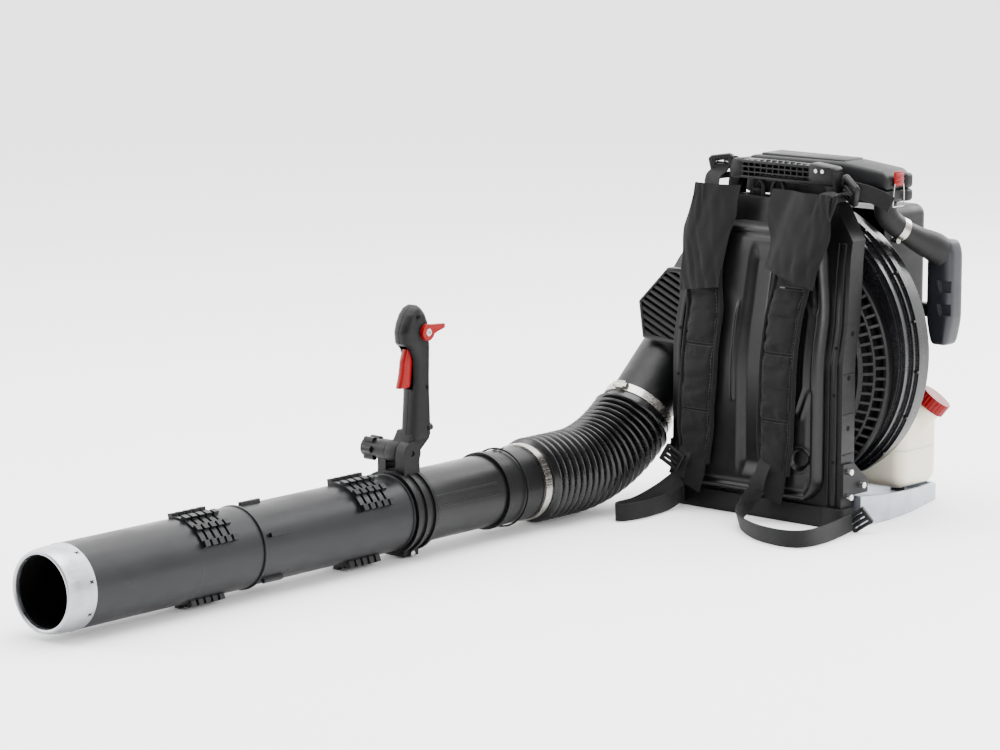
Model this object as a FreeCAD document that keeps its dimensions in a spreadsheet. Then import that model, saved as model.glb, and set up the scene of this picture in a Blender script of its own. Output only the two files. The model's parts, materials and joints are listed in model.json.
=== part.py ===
"""Backpack leaf blower: a two-stroke engine and centrifugal fan on a wearable frame.

Frame: +Z up, origin on the floor at the middle of the frame's front foot.  -Y points towards
the wearer and along the blower tube, +Y towards the engine, -X is the side the tube leaves.
Every size is a cell of the sheet Sizes, in millimetres and degrees.
"""
import FreeCAD, Part
import math
import os
import re
import Sketcher

DIMENSIONS = {
    # blower tube, lying on the floor, its axis parallel to Y
    "tube_x": -221, "tube_z": 65, "wall": 2.2, "mouth_y": -1240, "mouth_radius": 50,
    "wear_ring_rear_y": -1193, "front_radius": 58.2, "front_rear_y": -878,
    "middle_radius": 55.6, "middle_front_y": -905, "middle_rear_y": -574,
    "swivel_radius": 53, "swivel_front_y": -612, "swivel_rear_y": -298,
    "rib_top_radius": 65, "rib_base_radius": 60.4, "rib_width": 9, "rib_count": 4,
    "rib_first_angle": -10, "rib_pitch_angle": 23.3, "tooth_count": 5, "tooth_length": 9,
    "tooth_pitch": 13.5, "tooth_web": 4, "front_rib_y": -993, "middle_rib_y": -682,
    "belly_rib_count": 3, "seat_step": 0.8, "seat_margin": 4,
    "lug_count": 5, "lug_first_angle": -5, "lug_front_y": -866, "lug_length": 37,
    "lug_height": 5, "lug_width": 6, "rail_height": 2.4, "rail_width": 3, "rail_gap": 15,
    "rail_angle": 74, "rail_front_y": -528, "rail_rear_y": -390,
    # swivel collar between the swivel pipe and the hose
    "collar_front_y": -388, "collar_step_y": -364, "collar_rear_y": -294,
    "collar_radius": 57.4, "cuff_radius": 55.4, "collar_bore": 53.4,
    "collar_tab_length": 16,
    # hose, its clamps and the elbow
    "hose_front_y": -293.5, "hose_bore": 51.4, "hose_cuff_radius": 55.4, "hose_radius": 64.4,
    "bellows_inset": 22, "hose_top_y": -9, "hose_top_z": 135, "hose_slope": 41.35,
    "hose_top_inset": 20, "clamp_band_radius": 56.6, "front_screw_angle": 218, "rear_screw_angle": 60, "clamp_band_width": 13,
    "elbow_radius": 52, "elbow_bore": 49, "elbow_bend_radius": 100, "outlet_y": 118,
    "outlet_z": 292.6, "elbow_gap": 0.5, "screw_radius": 4, "screw_length": 26,
    # handle clamp and pivot
    "band_front_y": -573, "band_rear_y": -531, "band_bore": 53.3, "band_radius": 58,
    "band_ridge_radius": 61, "band_ridge_width": 6, "pivot_y": -546, "pivot_z": 149,
    "boss_radius": 17.5, "boss_inner_x": -214, "boss_outer_x": -197, "ear_inner_x": -238,
    "ear_outer_x": -214.4, "spacer_inner_x": -254, "knob_inner_x": -286,
    "knob_radius": 16, "knob_lobe_radius": 5, "knob_lobe_count": 6, "stud_radius": 4,
    "stud_gap": 0.05, "part_gap": 0.4,
    # grip
    "grip_split_x": -210, "grip_half_width": 19, "grip_rear_y": -504, "grip_front_y": -544,
    "grip_base_z": 168, "grip_top_z": 362, "grip_head_z": 302, "grip_head_y": -560,
    "trigger_half": 7, "trigger_pivot_y": -541, "trigger_pivot_z": 296,
    "trigger_tip_y": -564, "trigger_tip_z": 243, "trigger_pin": 2, "lever_y": -524,
    "lever_z": 323, "lever_radius": 12, "lever_thickness": 6, "lever_reach": 34,
    # back frame and harness
    "frame_half": 158, "frame_side_z": 300, "shoulder_half": 146, "shoulder_z": 424,
    "neck_half": 104, "neck_z": 474, "frame_depth": 32, "frame_rib": 7, "window_half": 118,
    "window_low": 60, "lean_start_z": 250, "lean_knee_y": 30, "lean_knee_z": 400,
    "lean_top_y": 72, "lean_top_z": 532, "foot_front": 4, "foot_height": 30,
    "pad_half": 128, "pad_high": 440, "pad_thickness": 17, "pad_gap": 0.3,
    "handle_half": 94, "handle_low": 508, "handle_high": 533, "handle_depth": 26,
    "handle_leg": 17, "handle_window": 7, "handle_windows": 9,
    "strap_width": 62, "strap_thickness": 17, "strap_gap": 2, "strap_low": 72,
    "strap_top": 492, "strap_left_x": 56, "strap_left_top_x": 92, "strap_right_x": -88,
    "strap_right_top_x": -112, "web_thickness": 2.4, "web_width": 26, "buckle_width": 36,
    "buckle_height": 26, "buckle_thickness": 9,
    # alloy base
    "base_front": 36, "base_half": 169, "base_wide": 171, "base_wide_y": 109,
    "base_mid": 161, "base_mid_y": 178, "base_rear_half": 134, "base_rear_y": 280,
    "base_back_y": 304, "base_back_half": 96, "base_front_height": 46,
    "base_rear_height": 26, "base_wall": 5, "base_floor": 5, "bracket_thickness": 4,
    "bracket_rear_y": 62, "bracket_top": 98,
    "bolt_radius": 4, "bolt_head": 7, "bolt_length": 7,
    "mount_radius": 13, "mount_x": 105, "mount_y": 78, "mount_top": 52,
    # fan
    "fan_z": 228, "volute_front": 84, "volute_middle": 118, "volute_rear": 152,
    "scroll_radius": 158, "scroll_growth": 0.083, "scroll_start": 160, "scroll_turn": 355,
    "step_front": 90, "step_front_in": 12, "step_middle": 104, "step_middle_in": 5,
    "step_rear": 143, "step_rear_in": 6, "flange_thick": 5, "flange_out": 4, "flange_low": 66,
    "shell": 3, "inlet_radius": 108, "shaft_hole": 34, "duct_outer_x": -273,
    "duct_knee_z": 306, "guard_front": 36, "guard_front_radius": 160,
    "guard_rear_radius": 189, "guard_wall": 3.5, "guard_slots": 40, "guard_slot_width": 8,
    "guard_lobe_x": -243, "guard_lobe_inner_x": -159, "guard_lobe_low": 243,
    "guard_lobe_high": 356, "guard_lobe_front": 20, "lobe_slots": 8, "lobe_slot_height": 6,
    "impeller_radius": 146, "impeller_eye": 82, "impeller_front": 94, "impeller_rear": 138,
    "impeller_plate": 3, "hub_radius": 26, "hub_front": 108, "blade_count": 16,
    "blade_thickness": 3, "blade_sweep": 35, "shaft_radius": 10,
    # engine
    "case_half": 50, "case_front": 160, "case_rear": 246, "case_low": 182, "deck_z": 286,
    "web_radius": 33, "web_front": 184, "web_rear": 213, "web_thick": 11, "crank_throw": 16,
    "crank_pin": 8, "crank_room": 38, "room_front": 182, "room_rear": 226,
    "bore_radius": 24, "running_gap": 0.05, "bore_y": 204, "barrel_radius": 33,
    "head_z": 376, "bore_top": 362, "fin_half": 56, "fin_depth": 76, "fin_first": 292,
    "fin_pitch": 8, "fin_count": 10, "fin_thickness": 3, "piston_low": 300,
    "piston_height": 36, "piston_crown": 5, "piston_skirt": 3, "plug_radius": 6,
    "plug_hex": 9, "plug_low": 376, "plug_high": 412, "cap_low": 394, "cap_high": 430,
    "cap_radius": 11, "muffler_outer_x": -112, "muffler_inner_x": -60, "muffler_front": 168,
    "muffler_rear": 240, "muffler_low": 232, "muffler_high": 340, "muffler_edge": 8, "muffler_wall": 3,
    "tail_radius": 11, "tail_z": 320, "tail_y": 205, "carb_inner_x": 60, "carb_outer_x": 100,
    "carb_front": 184, "carb_rear": 228, "carb_low": 296, "carb_high": 340,
    "throat_radius": 14, "cover_half": 118, "cover_front": 156, "cover_rear": 270,
    "cover_low": 168, "cover_high": 456, "cover_wall": 3, "cover_edge": 16,
    "flywheel_radius": 50, "flywheel_front": 250, "flywheel_rear": 264, "shaft_front": 96,
    "shaft_rear": 268, "recoil_radius": 76, "recoil_front": 270.4, "recoil_rear": 306,
    "recoil_wall": 3, "recoil_slots": 10, "post_radius": 7, "pulley_radius": 36,
    "pulley_front": 279, "pulley_rear": 296, "pulley_groove": 6, "cord_hole": 5,
    "cord_radius": 2.5, "starter_x": 77, "starter_z": 196, "starter_y": 287.5,
    "starter_span": 30, "choke_y": 186, "choke_z": 262,
    "choke_radius": 9, "choke_arm": 26, "choke_thick": 5, "bulb_y": 240, "bulb_z": 262,
    "bulb_radius": 12, "bulb_length": 13,
    # air cleaner, duct and intake pod
    "box_left": -96, "box_right": 165, "box_front": 92, "box_rear": 157, "box_low": 474,
    "box_split": 494, "box_top": 531, "box_flat_right": 85, "box_slope_x": 155,
    "box_slope_z": 523, "box_end_z": 512, "box_wall": 3, "filter_margin": 8,
    "filter_top": 516, "hinge_radius": 3.5, "hinge_pin": 1.5, "hinge_length": 14,
    "latch_y": 121, "latch_width": 22, "latch_low": 6, "latch_high": 28, "bail_wire": 1.6,
    "duct_radius": 17, "duct_y": 124, "duct_x": 142, "duct_knee": 446, "duct_bend": 34,
    "duct_wall": 3, "clamp_run": 4, "clamp_width": 12, "clamp_thick": 1.4,
    "pod_x": 180, "pod_y": 226, "pod_half_x": 23, "pod_half_y": 20, "pod_low": 252,
    "pod_high": 411, "pod_edge": 14,
    # fuel
    "tank_left": -118, "tank_right": 152, "tank_front": 162, "tank_rear": 262,
    "tank_low": 32, "tank_high": 150, "tank_edge": 18, "tank_wall": 3, "filler_tilt": 38,
    "filler_x": 140, "filler_y": 226, "filler_z": 136, "filler_radius": 19, "filler_length": 50,
    "fuel_cap_radius": 25, "fuel_cap_height": 20, "cap_gap": 0.4, "knurl_count": 24,
}

DOC = FreeCAD.newDocument("BackpackBlower")
SHEET = DOC.addObject("Spreadsheet::Sheet", "Sizes")
EXPORTS = []


def fill_sheet():
    """Put every driving dimension in the sheet under its alias."""
    for row, (alias, value) in enumerate(DIMENSIONS.items(), start=1):
        SHEET.set(f"A{row}", alias)
        SHEET.set(f"B{row}", str(value))
        SHEET.setAlias(f"B{row}", alias)
    DOC.recompute()


def link(text):
    """Turn an expression in plain aliases into one that reads the sheet."""
    def name(found):
        return "Sizes." + found.group() if found.group() in DIMENSIONS else found.group()
    return re.sub(r"[a-z_]+", name, str(text))


def size(text):
    """The number that an expression in plain aliases comes to."""
    total = SHEET.evalExpression(link(text))
    return float(getattr(total, "Value", total))


def bind(piece, **sizes):
    """Bind properties of a piece to expressions; a double underscore stands for a dot."""
    for prop, text in sizes.items():
        piece.setExpression(prop.replace("__", "."), link(text))
    return piece


def move(piece, corner):
    """Bind the base of a piece's placement to three expressions."""
    return bind(piece, Placement__Base__x=corner[0], Placement__Base__y=corner[1],
                Placement__Base__z=corner[2])


AIM = {
    "X": FreeCAD.Rotation(FreeCAD.Vector(0, 1, 0), 90),
    "Y": FreeCAD.Rotation(FreeCAD.Vector(1, 0, 0), -90),
    "Z": FreeCAD.Rotation(),
}


def box(name, low, high):
    """A block between two corners."""
    piece = DOC.addObject("Part::Box", name)
    bind(piece, Length=f"{high[0]} - ({low[0]})", Width=f"{high[1]} - ({low[1]})",
         Height=f"{high[2]} - ({low[2]})")
    return move(piece, low)


def cylinder(name, axis, start, radius, length):
    """A cylinder from start along +axis."""
    piece = DOC.addObject("Part::Cylinder", name)
    piece.Placement = FreeCAD.Placement(FreeCAD.Vector(), AIM[axis])
    bind(piece, Radius=radius, Height=length)
    return move(piece, start)


def cone(name, axis, start, radius_1, radius_2, length):
    """A cone from start along +axis."""
    piece = DOC.addObject("Part::Cone", name)
    piece.Placement = FreeCAD.Placement(FreeCAD.Vector(), AIM[axis])
    bind(piece, Radius1=radius_1, Radius2=radius_2, Height=length)
    return move(piece, start)


def fuse(name, *pieces):
    """Join pieces into one solid."""
    joined = DOC.addObject("Part::MultiFuse", name)
    joined.Shapes = list(pieces)
    return joined


def cut(name, base, *tools):
    """Take tools away from a base."""
    result = DOC.addObject("Part::Cut", name)
    result.Base = base
    result.Tool = tools[0] if len(tools) == 1 else fuse(name + "Tools", *tools)
    return result


def common(name, *pieces):
    """Keep what the pieces share."""
    result = DOC.addObject("Part::MultiCommon", name)
    result.Shapes = list(pieces)
    return result


def group(name, *pieces):
    """Keep several separate solids in one node."""
    result = DOC.addObject("Part::Compound", name)
    result.Links = list(pieces)
    return result


def keep(node, piece):
    """Give a sub-part its label and list it for export."""
    piece.Label = node
    EXPORTS.append((node, piece))
    return piece


def shaped(name, shape):
    """A feature that holds a shape made with Part's own functions."""
    piece = DOC.addObject("Part::Feature", name)
    piece.Shape = shape
    return piece


def draw(sketch, points):
    """Draw a closed outline in a sketch, each corner bound to two expressions."""
    places = [FreeCAD.Vector(size(x), size(y), 0) for x, y in points]
    count = len(places)
    for index, place in enumerate(places):
        sketch.addGeometry(Part.LineSegment(place, places[(index + 1) % count]), False)
    for index in range(count):
        sketch.addConstraint(Sketcher.Constraint("Coincident", index, 2, (index + 1) % count, 1))
    for index, (x, y) in enumerate(points):
        for kind, text, value in (("DistanceX", x, places[index].x), ("DistanceY", y, places[index].y)):
            number = sketch.addConstraint(Sketcher.Constraint(kind, -1, 1, index, 1, value))
            sketch.setExpression(f"Constraints[{number}]", link(text))
    return sketch


PLANES = {
    "XY": FreeCAD.Rotation(),
    "XZ": FreeCAD.Rotation(FreeCAD.Vector(1, 0, 0), 90),
    "YZ": FreeCAD.Rotation(FreeCAD.Vector(1, 1, 1), 120),
}
NORMALS = {"XY": ("0", "0", "{}"), "XZ": ("0", "{}", "0"), "YZ": ("{}", "0", "0")}


def prism(name, plane, points, low, high):
    """Extrude an outline drawn on a plane between two places on the plane's normal axis."""
    sketch = DOC.addObject("Sketcher::SketchObject", name + "Outline")
    draw(sketch, points)
    sketch.Placement = FreeCAD.Placement(FreeCAD.Vector(), PLANES[plane])
    start = high if plane == "XZ" else low
    move(sketch, [part.format(start) for part in NORMALS[plane]])
    piece = DOC.addObject("Part::Extrusion", name)
    piece.Base = sketch
    piece.DirMode = "Normal"
    piece.Solid = True
    return bind(piece, LengthFwd=f"{high} - ({low})")


def body(node):
    """A PartDesign body for one sub-part."""
    made = DOC.addObject("PartDesign::Body", "Body_" + node)
    return keep(node, made)


def origin_plane(made, role):
    """One of a body's own origin planes."""
    return next(f for f in made.Origin.OriginFeatures if f.Role == role + "_Plane")


def body_sketch(made, plane, points, offset="0"):
    """Draw an outline on an origin plane of a body, moved along the plane's normal."""
    sketch = made.newObject("Sketcher::SketchObject", made.Name + "Sketch")
    sketch.AttachmentSupport = [(origin_plane(made, plane), "")]
    sketch.MapMode = "FlatFace"
    if offset != "0":
        bind(sketch, AttachmentOffset__Base__z=offset)
    return draw(sketch, points)


def turn(made, points, kind="Revolution"):
    """Turn an outline given as (radius, place along Y) about the body's own Y axis."""
    sketch = body_sketch(made, "XY", points)
    feature = made.newObject("PartDesign::" + kind, made.Name + kind)
    feature.Profile = sketch
    feature.ReferenceAxis = (sketch, ["V_Axis"])
    feature.Angle = 360
    made.Tip = feature
    return feature


def polar(made, feature, count):
    """Repeat a feature around the body's own Y axis."""
    pattern = made.newObject("PartDesign::PolarPattern", made.Name + "Polar")
    pattern.Originals = [feature]
    pattern.Axis = (next(f for f in made.Origin.OriginFeatures if f.Role == "Y_Axis"), [""])
    pattern.Angle = 360
    bind(pattern, Occurrences=count)
    made.Tip = pattern
    return pattern


def on_tube(made):
    """Put a body's own Y axis on the blower tube's axis."""
    return move(made, ("tube_x", "0", "tube_z"))


def about_tube(shape, angle):
    """Turn a shape that is modelled above the tube's axis around that axis."""
    shape.rotate(FreeCAD.Vector(), FreeCAD.Vector(0, 1, 0), angle)
    return shape


def raised_block(radius, top, width, front, length, angle):
    """A block that stands on the tube between two radii."""
    shape = Part.makeBox(width, length, top - radius, FreeCAD.Vector(-width / 2, front, radius))
    return about_tube(shape, angle)


def rib_rows(inner, front, first_angle, rows):
    """Rows of teeth joined by low webs, the skid blocks of a pipe."""
    shapes = []
    pitch = size("tooth_pitch")
    count = DIMENSIONS["tooth_count"]
    for row in range(rows):
        angle = first_angle + row * size("rib_pitch_angle")
        length = pitch * (count - 1) + size("tooth_length")
        shapes.append(raised_block(inner, size("rib_base_radius + 1"), size("tooth_web"), front, length, angle))
        for tooth in range(count):
            start = front + tooth * pitch
            shapes.append(raised_block(inner, size("rib_top_radius - 0.1"), size("rib_width"), start,
                                       size("tooth_length"), angle))
    for tooth in range(count):
        centre = first_angle + (rows - 1) * size("rib_pitch_angle") / 2
        spread = (rows - 1) * size("rib_pitch_angle")
        start = front + tooth * pitch
        band = Part.makeCylinder(size("rib_base_radius"), size("tooth_length"), FreeCAD.Vector(0, start, 0),
                                 FreeCAD.Vector(0, 1, 0), spread)
        band = band.cut(Part.makeCylinder(inner, size("tooth_length"), FreeCAD.Vector(0, start, 0),
                                          FreeCAD.Vector(0, 1, 0)))
        middle = band.Solids[0].CenterOfMass
        shapes.append(about_tube(band, centre - math.degrees(math.atan2(middle.x, middle.z))))
    return shapes


def skid_blocks(inner, front):
    """The shoulder and belly rib blocks of one pipe."""
    belly_rows = DIMENSIONS["belly_rib_count"]
    belly_first = 180 - (belly_rows - 1) * size("rib_pitch_angle") / 2
    shoulder = rib_rows(inner, front, size("rib_first_angle"), DIMENSIONS["rib_count"])
    belly = rib_rows(inner, front, belly_first, belly_rows)
    return shoulder + belly


def pipe(node, outer, inner, front, rear, extras):
    """A pipe section with what is moulded on its outside."""
    start = size(front)
    length = size(rear) - start
    along = FreeCAD.Vector(0, 1, 0)
    wall = Part.makeCylinder(size(outer), length, FreeCAD.Vector(0, start, 0), along)
    wall = wall.multiFuse(extras)
    wall = wall.cut(Part.makeCylinder(size(inner), length, FreeCAD.Vector(0, start, 0), along))
    piece = shaped("Pipe_" + node, wall.removeSplitter())
    move(piece, ("tube_x", "0", "tube_z"))
    return keep(node, piece)


def wear_ring():
    """The alloy ring that protects the mouth."""
    made = body("wear_ring")
    turn(made, [("mouth_radius - 2.5", "mouth_y"), ("mouth_radius", "mouth_y"),
                ("mouth_radius + 1.6", "mouth_y + 4"), ("front_radius - 1", "wear_ring_rear_y - 22"),
                ("front_radius", "wear_ring_rear_y - 12"), ("front_radius", "wear_ring_rear_y"),
                ("front_radius - wall", "wear_ring_rear_y"), ("mouth_radius - 3.5", "mouth_y + 4")])
    on_tube(made)


def blower_pipes():
    """The three pipe sections, each running inside the one before it."""
    seat = size("front_radius") - 1
    nozzle_seat = Part.makeCylinder(size("front_radius"), size("front_rib_y - seat_margin - wear_ring_rear_y"),
                                    FreeCAD.Vector(0, size("wear_ring_rear_y"), 0), FreeCAD.Vector(0, 1, 0))
    pipe("front_pipe", "front_radius - seat_step", "front_radius - wall", "wear_ring_rear_y", "front_rear_y",
         [nozzle_seat, *skid_blocks(seat, size("front_rib_y"))])
    seat = size("middle_radius") - 1
    extras = skid_blocks(seat, size("middle_rib_y"))
    count = DIMENSIONS["lug_count"]
    for index in range(count):
        extras.append(raised_block(seat, size("middle_radius + lug_height"), size("lug_width"),
                                   size("lug_front_y"), size("lug_length"),
                                   size("lug_first_angle") + index * 360 / count))
    pipe("middle_pipe", "middle_radius", "middle_radius - wall", "middle_front_y", "middle_rear_y", extras)
    seat = size("swivel_radius") - 1
    rails = []
    gap = size("rail_gap")
    top = size("swivel_radius + rail_height")
    for side in (-1, 1):
        rail = Part.makeBox(size("rail_width"), size("rail_rear_y - rail_front_y"), top - seat,
                            FreeCAD.Vector(side * gap / 2 - size("rail_width") / 2, size("rail_front_y"), seat - 1))
        rails.append(about_tube(rail, size("rail_angle")))
    pipe("swivel_pipe", "swivel_radius", "swivel_radius - wall", "swivel_front_y", "swivel_rear_y", rails)


def swivel_collar():
    """The collar that the swivel pipe turns in, with bayonet tabs on its front edge."""
    made = body("swivel_collar")
    turn(made, [("collar_bore", "collar_front_y + collar_tab_length"),
                ("collar_radius", "collar_front_y + collar_tab_length"), ("collar_radius", "collar_step_y"),
                ("cuff_radius", "collar_step_y"), ("cuff_radius", "collar_rear_y"),
                ("collar_bore", "collar_rear_y")])
    on_tube(made)


def hose_path(inset_front=0.0, inset_rear=0.0):
    """The hose's centre line: level from the collar, then bent up to the elbow."""
    x = size("tube_x")
    slope = math.radians(size("hose_slope"))
    rise = size("hose_top_z") - size("tube_z")
    corner_y = size("hose_top_y") - rise / math.tan(slope)
    tangent = rise / math.sin(slope)
    up = FreeCAD.Vector(0, math.cos(slope), math.sin(slope))
    start = FreeCAD.Vector(x, size("hose_front_y") + inset_front, size("tube_z"))
    bend_start = FreeCAD.Vector(x, corner_y - tangent, size("tube_z"))
    radius = tangent / math.tan(slope / 2)
    middle = FreeCAD.Vector(x, bend_start.y + radius * math.sin(slope / 2),
                            size("tube_z") + radius * (1 - math.cos(slope / 2)))
    full_end = FreeCAD.Vector(x, size("hose_top_y"), size("hose_top_z")) + up * size("hose_top_inset")
    bend_end = FreeCAD.Vector(x, size("hose_top_y"), size("hose_top_z"))
    if inset_rear > size("hose_top_inset"):
        turn_left = (inset_rear - size("hose_top_inset")) / radius
        angle = slope - turn_left
        end = FreeCAD.Vector(x, bend_start.y + radius * math.sin(angle),
                             size("tube_z") + radius * (1 - math.cos(angle)))
        half = angle / 2
        middle = FreeCAD.Vector(x, bend_start.y + radius * math.sin(half),
                                size("tube_z") + radius * (1 - math.cos(half)))
        return Part.Wire([Part.LineSegment(start, bend_start).toShape(),
                          Part.Arc(bend_start, middle, end).toShape()])
    return Part.Wire([Part.LineSegment(start, bend_start).toShape(),
                      Part.Arc(bend_start, middle, bend_end).toShape(),
                      Part.LineSegment(bend_end, full_end - up * inset_rear).toShape()])


def swept(path, radius):
    """Sweep a circle along a path of tangent runs and arcs."""
    edge = path.OrderedEdges[0]
    start = edge.valueAt(edge.FirstParameter)
    direction = edge.tangentAt(edge.FirstParameter)
    profile = Part.Wire([Part.makeCircle(radius, start, direction)])
    return path.makePipeShell([profile], True, False, 2)


def flexible_hose():
    """The bellows hose as a plain tube of its outer size with narrower cuffs."""
    outside = swept(hose_path(), size("hose_cuff_radius"))
    bulge = swept(hose_path(size("bellows_inset"), size("bellows_inset + 14")), size("hose_radius"))
    inside = swept(hose_path(), size("hose_bore"))
    keep("flexible_hose", shaped("Hose", outside.fuse(bulge).cut(inside).removeSplitter()))


def band_clamp(node, screw_angle):
    """A worm-drive band with its screw housing, made around its own Y axis."""
    half = size("clamp_band_width") / 2
    along = FreeCAD.Vector(0, 1, 0)
    outer = size("clamp_band_radius + 1.2")
    band = Part.makeCylinder(outer, 2 * half, FreeCAD.Vector(0, -half, 0), along)
    bore = Part.makeCylinder(size("hose_cuff_radius"), 2 * half, FreeCAD.Vector(0, -half, 0), along)
    block = Part.makeBox(14, 2 * half, 7, FreeCAD.Vector(-7, -half, outer - 2))
    screw = Part.makeCylinder(size("screw_radius"), size("screw_length"),
                              FreeCAD.Vector(-size("screw_length") / 2, 0, outer + 2.5), FreeCAD.Vector(1, 0, 0))
    shape = band.multiFuse([block, screw]).cut(bore).removeSplitter()
    return keep(node, shaped("Clamp_" + node, about_tube(shape, screw_angle)))


def hose_clamps():
    """One clamp at each end of the hose."""
    front = band_clamp("front_hose_clamp", size("front_screw_angle"))
    move(front, ("tube_x", "hose_front_y + 10", "tube_z"))
    rear = band_clamp("rear_hose_clamp", size("rear_screw_angle"))
    rear.Placement = FreeCAD.Placement(
        FreeCAD.Vector(size("tube_x"), size("hose_top_y"), size("hose_top_z")),
        FreeCAD.Rotation(FreeCAD.Vector(1, 0, 0), size("hose_slope")))


def elbow_path():
    """The elbow's centre line: from the hose up and round into the fan outlet."""
    x = size("tube_x")
    slope = math.radians(size("hose_slope"))
    up = FreeCAD.Vector(0, math.cos(slope), math.sin(slope))
    start = FreeCAD.Vector(x, size("hose_top_y"), size("hose_top_z")) - up * 14
    corner = start + up * ((size("outlet_y") - start.y) / math.cos(slope))
    radius = size("elbow_bend_radius")
    tangent = radius * math.tan((math.pi / 2 - slope) / 2)
    bend_start = corner - up * tangent
    bend_end = corner + FreeCAD.Vector(0, 0, tangent)
    centre = bend_start + FreeCAD.Vector(0, -math.sin(slope), math.cos(slope)) * radius
    half = (math.pi / 2 + slope) / 2
    middle = centre + FreeCAD.Vector(0, math.sin(half), -math.cos(half)) * radius
    top = FreeCAD.Vector(x, size("outlet_y"), size("outlet_z - elbow_gap"))
    edges = [Part.LineSegment(start, bend_start).toShape(), Part.Arc(bend_start, middle, bend_end).toShape()]
    if top.z - bend_end.z > 1:
        edges.append(Part.LineSegment(bend_end, top).toShape())
    return Part.Wire(edges)


def outlet_elbow():
    """The rigid elbow from the fan outlet to the hose."""
    path = elbow_path()
    shape = swept(path, size("elbow_radius - 1.2")).cut(swept(path, size("elbow_bore")))
    keep("outlet_elbow", shaped("Elbow", shape))


def handle_clamp():
    """The split band round the tube with its ridges, screw lug and pivot boss."""
    made = body("handle_clamp")
    ridge = "band_ridge_width"
    turn(made, [("band_bore", "band_front_y"), ("band_ridge_radius", "band_front_y"),
                ("band_ridge_radius", f"band_front_y + {ridge}"), ("band_radius", f"band_front_y + {ridge}"),
                ("band_radius", "band_front_y + 18"), ("band_ridge_radius", "band_front_y + 18"),
                ("band_ridge_radius", "band_rear_y - 18"), ("band_radius", "band_rear_y - 18"),
                ("band_radius", f"band_rear_y - {ridge}"), ("band_ridge_radius", f"band_rear_y - {ridge}"),
                ("band_ridge_radius", "band_rear_y"), ("band_bore", "band_rear_y")])
    on_tube(made)
    EXPORTS.pop()
    made.Label = "clamp_ring"
    boss = cylinder("PivotBoss", "X", ("boss_inner_x", "pivot_y", "pivot_z"), "boss_radius",
                    "boss_outer_x - boss_inner_x")
    root = box("PivotRoot", ("boss_inner_x", "pivot_y - boss_radius", "tube_z + band_radius - 6"),
               ("boss_outer_x", "pivot_y + 15", "pivot_z"))
    barrel = cylinder("PivotBarrel", "X", ("spacer_inner_x", "pivot_y", "pivot_z"), "boss_radius - 2",
                      "ear_inner_x - part_gap - spacer_inner_x")
    barrel_root = box("BarrelRoot", ("spacer_inner_x", "pivot_y - 12", "tube_z + band_radius - 12"),
                      ("ear_inner_x - part_gap", "pivot_y + 12", "pivot_z"))
    lug = box("ScrewLug", ("tube_x - 4", "band_front_y + 6", "tube_z - band_radius - 5"),
              ("tube_x + 26", "band_rear_y - 6", "tube_z - band_radius + 8"))
    bore = cylinder("StudHole", "X", ("spacer_inner_x - 1", "pivot_y", "pivot_z"), "stud_radius + stud_gap",
                    "boss_outer_x - spacer_inner_x + 2")
    tube_room = cylinder("TubeRoom", "Y", ("tube_x", "band_front_y - 1", "tube_z"), "band_bore",
                         "band_rear_y - band_front_y + 2")
    solid = fuse("ClampSolid", made, boss, root, barrel, barrel_root, lug)
    notch_width = size("rail_gap") + 2 * size("rail_width")
    notch = Part.makeBox(notch_width, size("band_rear_y - band_front_y + 4"), size("rail_height + part_gap") + 2,
                         FreeCAD.Vector(-notch_width / 2, size("band_front_y - 2"), size("swivel_radius") - 2))
    rail_room = move(shaped("RailRoom", about_tube(notch, size("rail_angle"))), ("tube_x", "0", "tube_z"))
    keep("handle_clamp", cut("HandleClamp", solid, bore, tube_room, rail_room))


def clamp_screw():
    """The screw that closes the handle clamp under the tube."""
    head = cylinder("ClampHead", "X", ("tube_x + 26", "(band_front_y + band_rear_y) / 2",
                                       "tube_z - band_radius - 1"), "bolt_radius", "bolt_length - 3")
    keep("clamp_screw", head)


def pivot_knob():
    """The lobed knob and its stud through the pivot."""
    pieces = [cylinder("KnobCore", "X", ("knob_inner_x", "pivot_y", "pivot_z"), "knob_radius - 2",
                       "spacer_inner_x - part_gap - knob_inner_x"),
              cylinder("KnobStud", "X", ("spacer_inner_x - 2", "pivot_y", "pivot_z"), "stud_radius",
                       "boss_outer_x - spacer_inner_x")]
    count = DIMENSIONS["knob_lobe_count"]
    for index in range(count):
        angle = 2 * math.pi * index / count
        reach_y = f"pivot_y + knob_radius * {math.cos(angle):.4f} * 0.85"
        reach_z = f"pivot_z + knob_radius * {math.sin(angle):.4f} * 0.85"
        pieces.append(cylinder(f"KnobLobe{index}", "X", ("knob_inner_x + 4", reach_y, reach_z), "knob_lobe_radius",
                               "18"))
    keep("pivot_knob", fuse("PivotKnob", *pieces))


def grip_outline():
    """The grip seen from the side, as (place along Y, height)."""
    return [("grip_rear_y - 2", "grip_base_z"), ("grip_rear_y", "grip_base_z + 14"),
            ("grip_rear_y - 3", "grip_base_z + 60"), ("grip_rear_y - 2", "grip_head_z + 10"),
            ("grip_rear_y - 5", "grip_top_z - 26"), ("grip_rear_y - 14", "grip_top_z - 6"),
            ("grip_rear_y - 25", "grip_top_z"), ("grip_rear_y - 38", "grip_top_z - 7"),
            ("grip_head_y + 5", "grip_top_z - 28"), ("grip_head_y", "grip_head_z + 18"),
            ("grip_head_y + 2", "grip_head_z + 2"), ("grip_head_y + 9", "grip_head_z - 2"),
            ("grip_front_y + 6", "grip_head_z - 4"), ("grip_front_y + 5", "trigger_tip_z - 2"),
            ("grip_front_y + 2", "grip_base_z + 30"), ("grip_front_y", "grip_base_z")]


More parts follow.
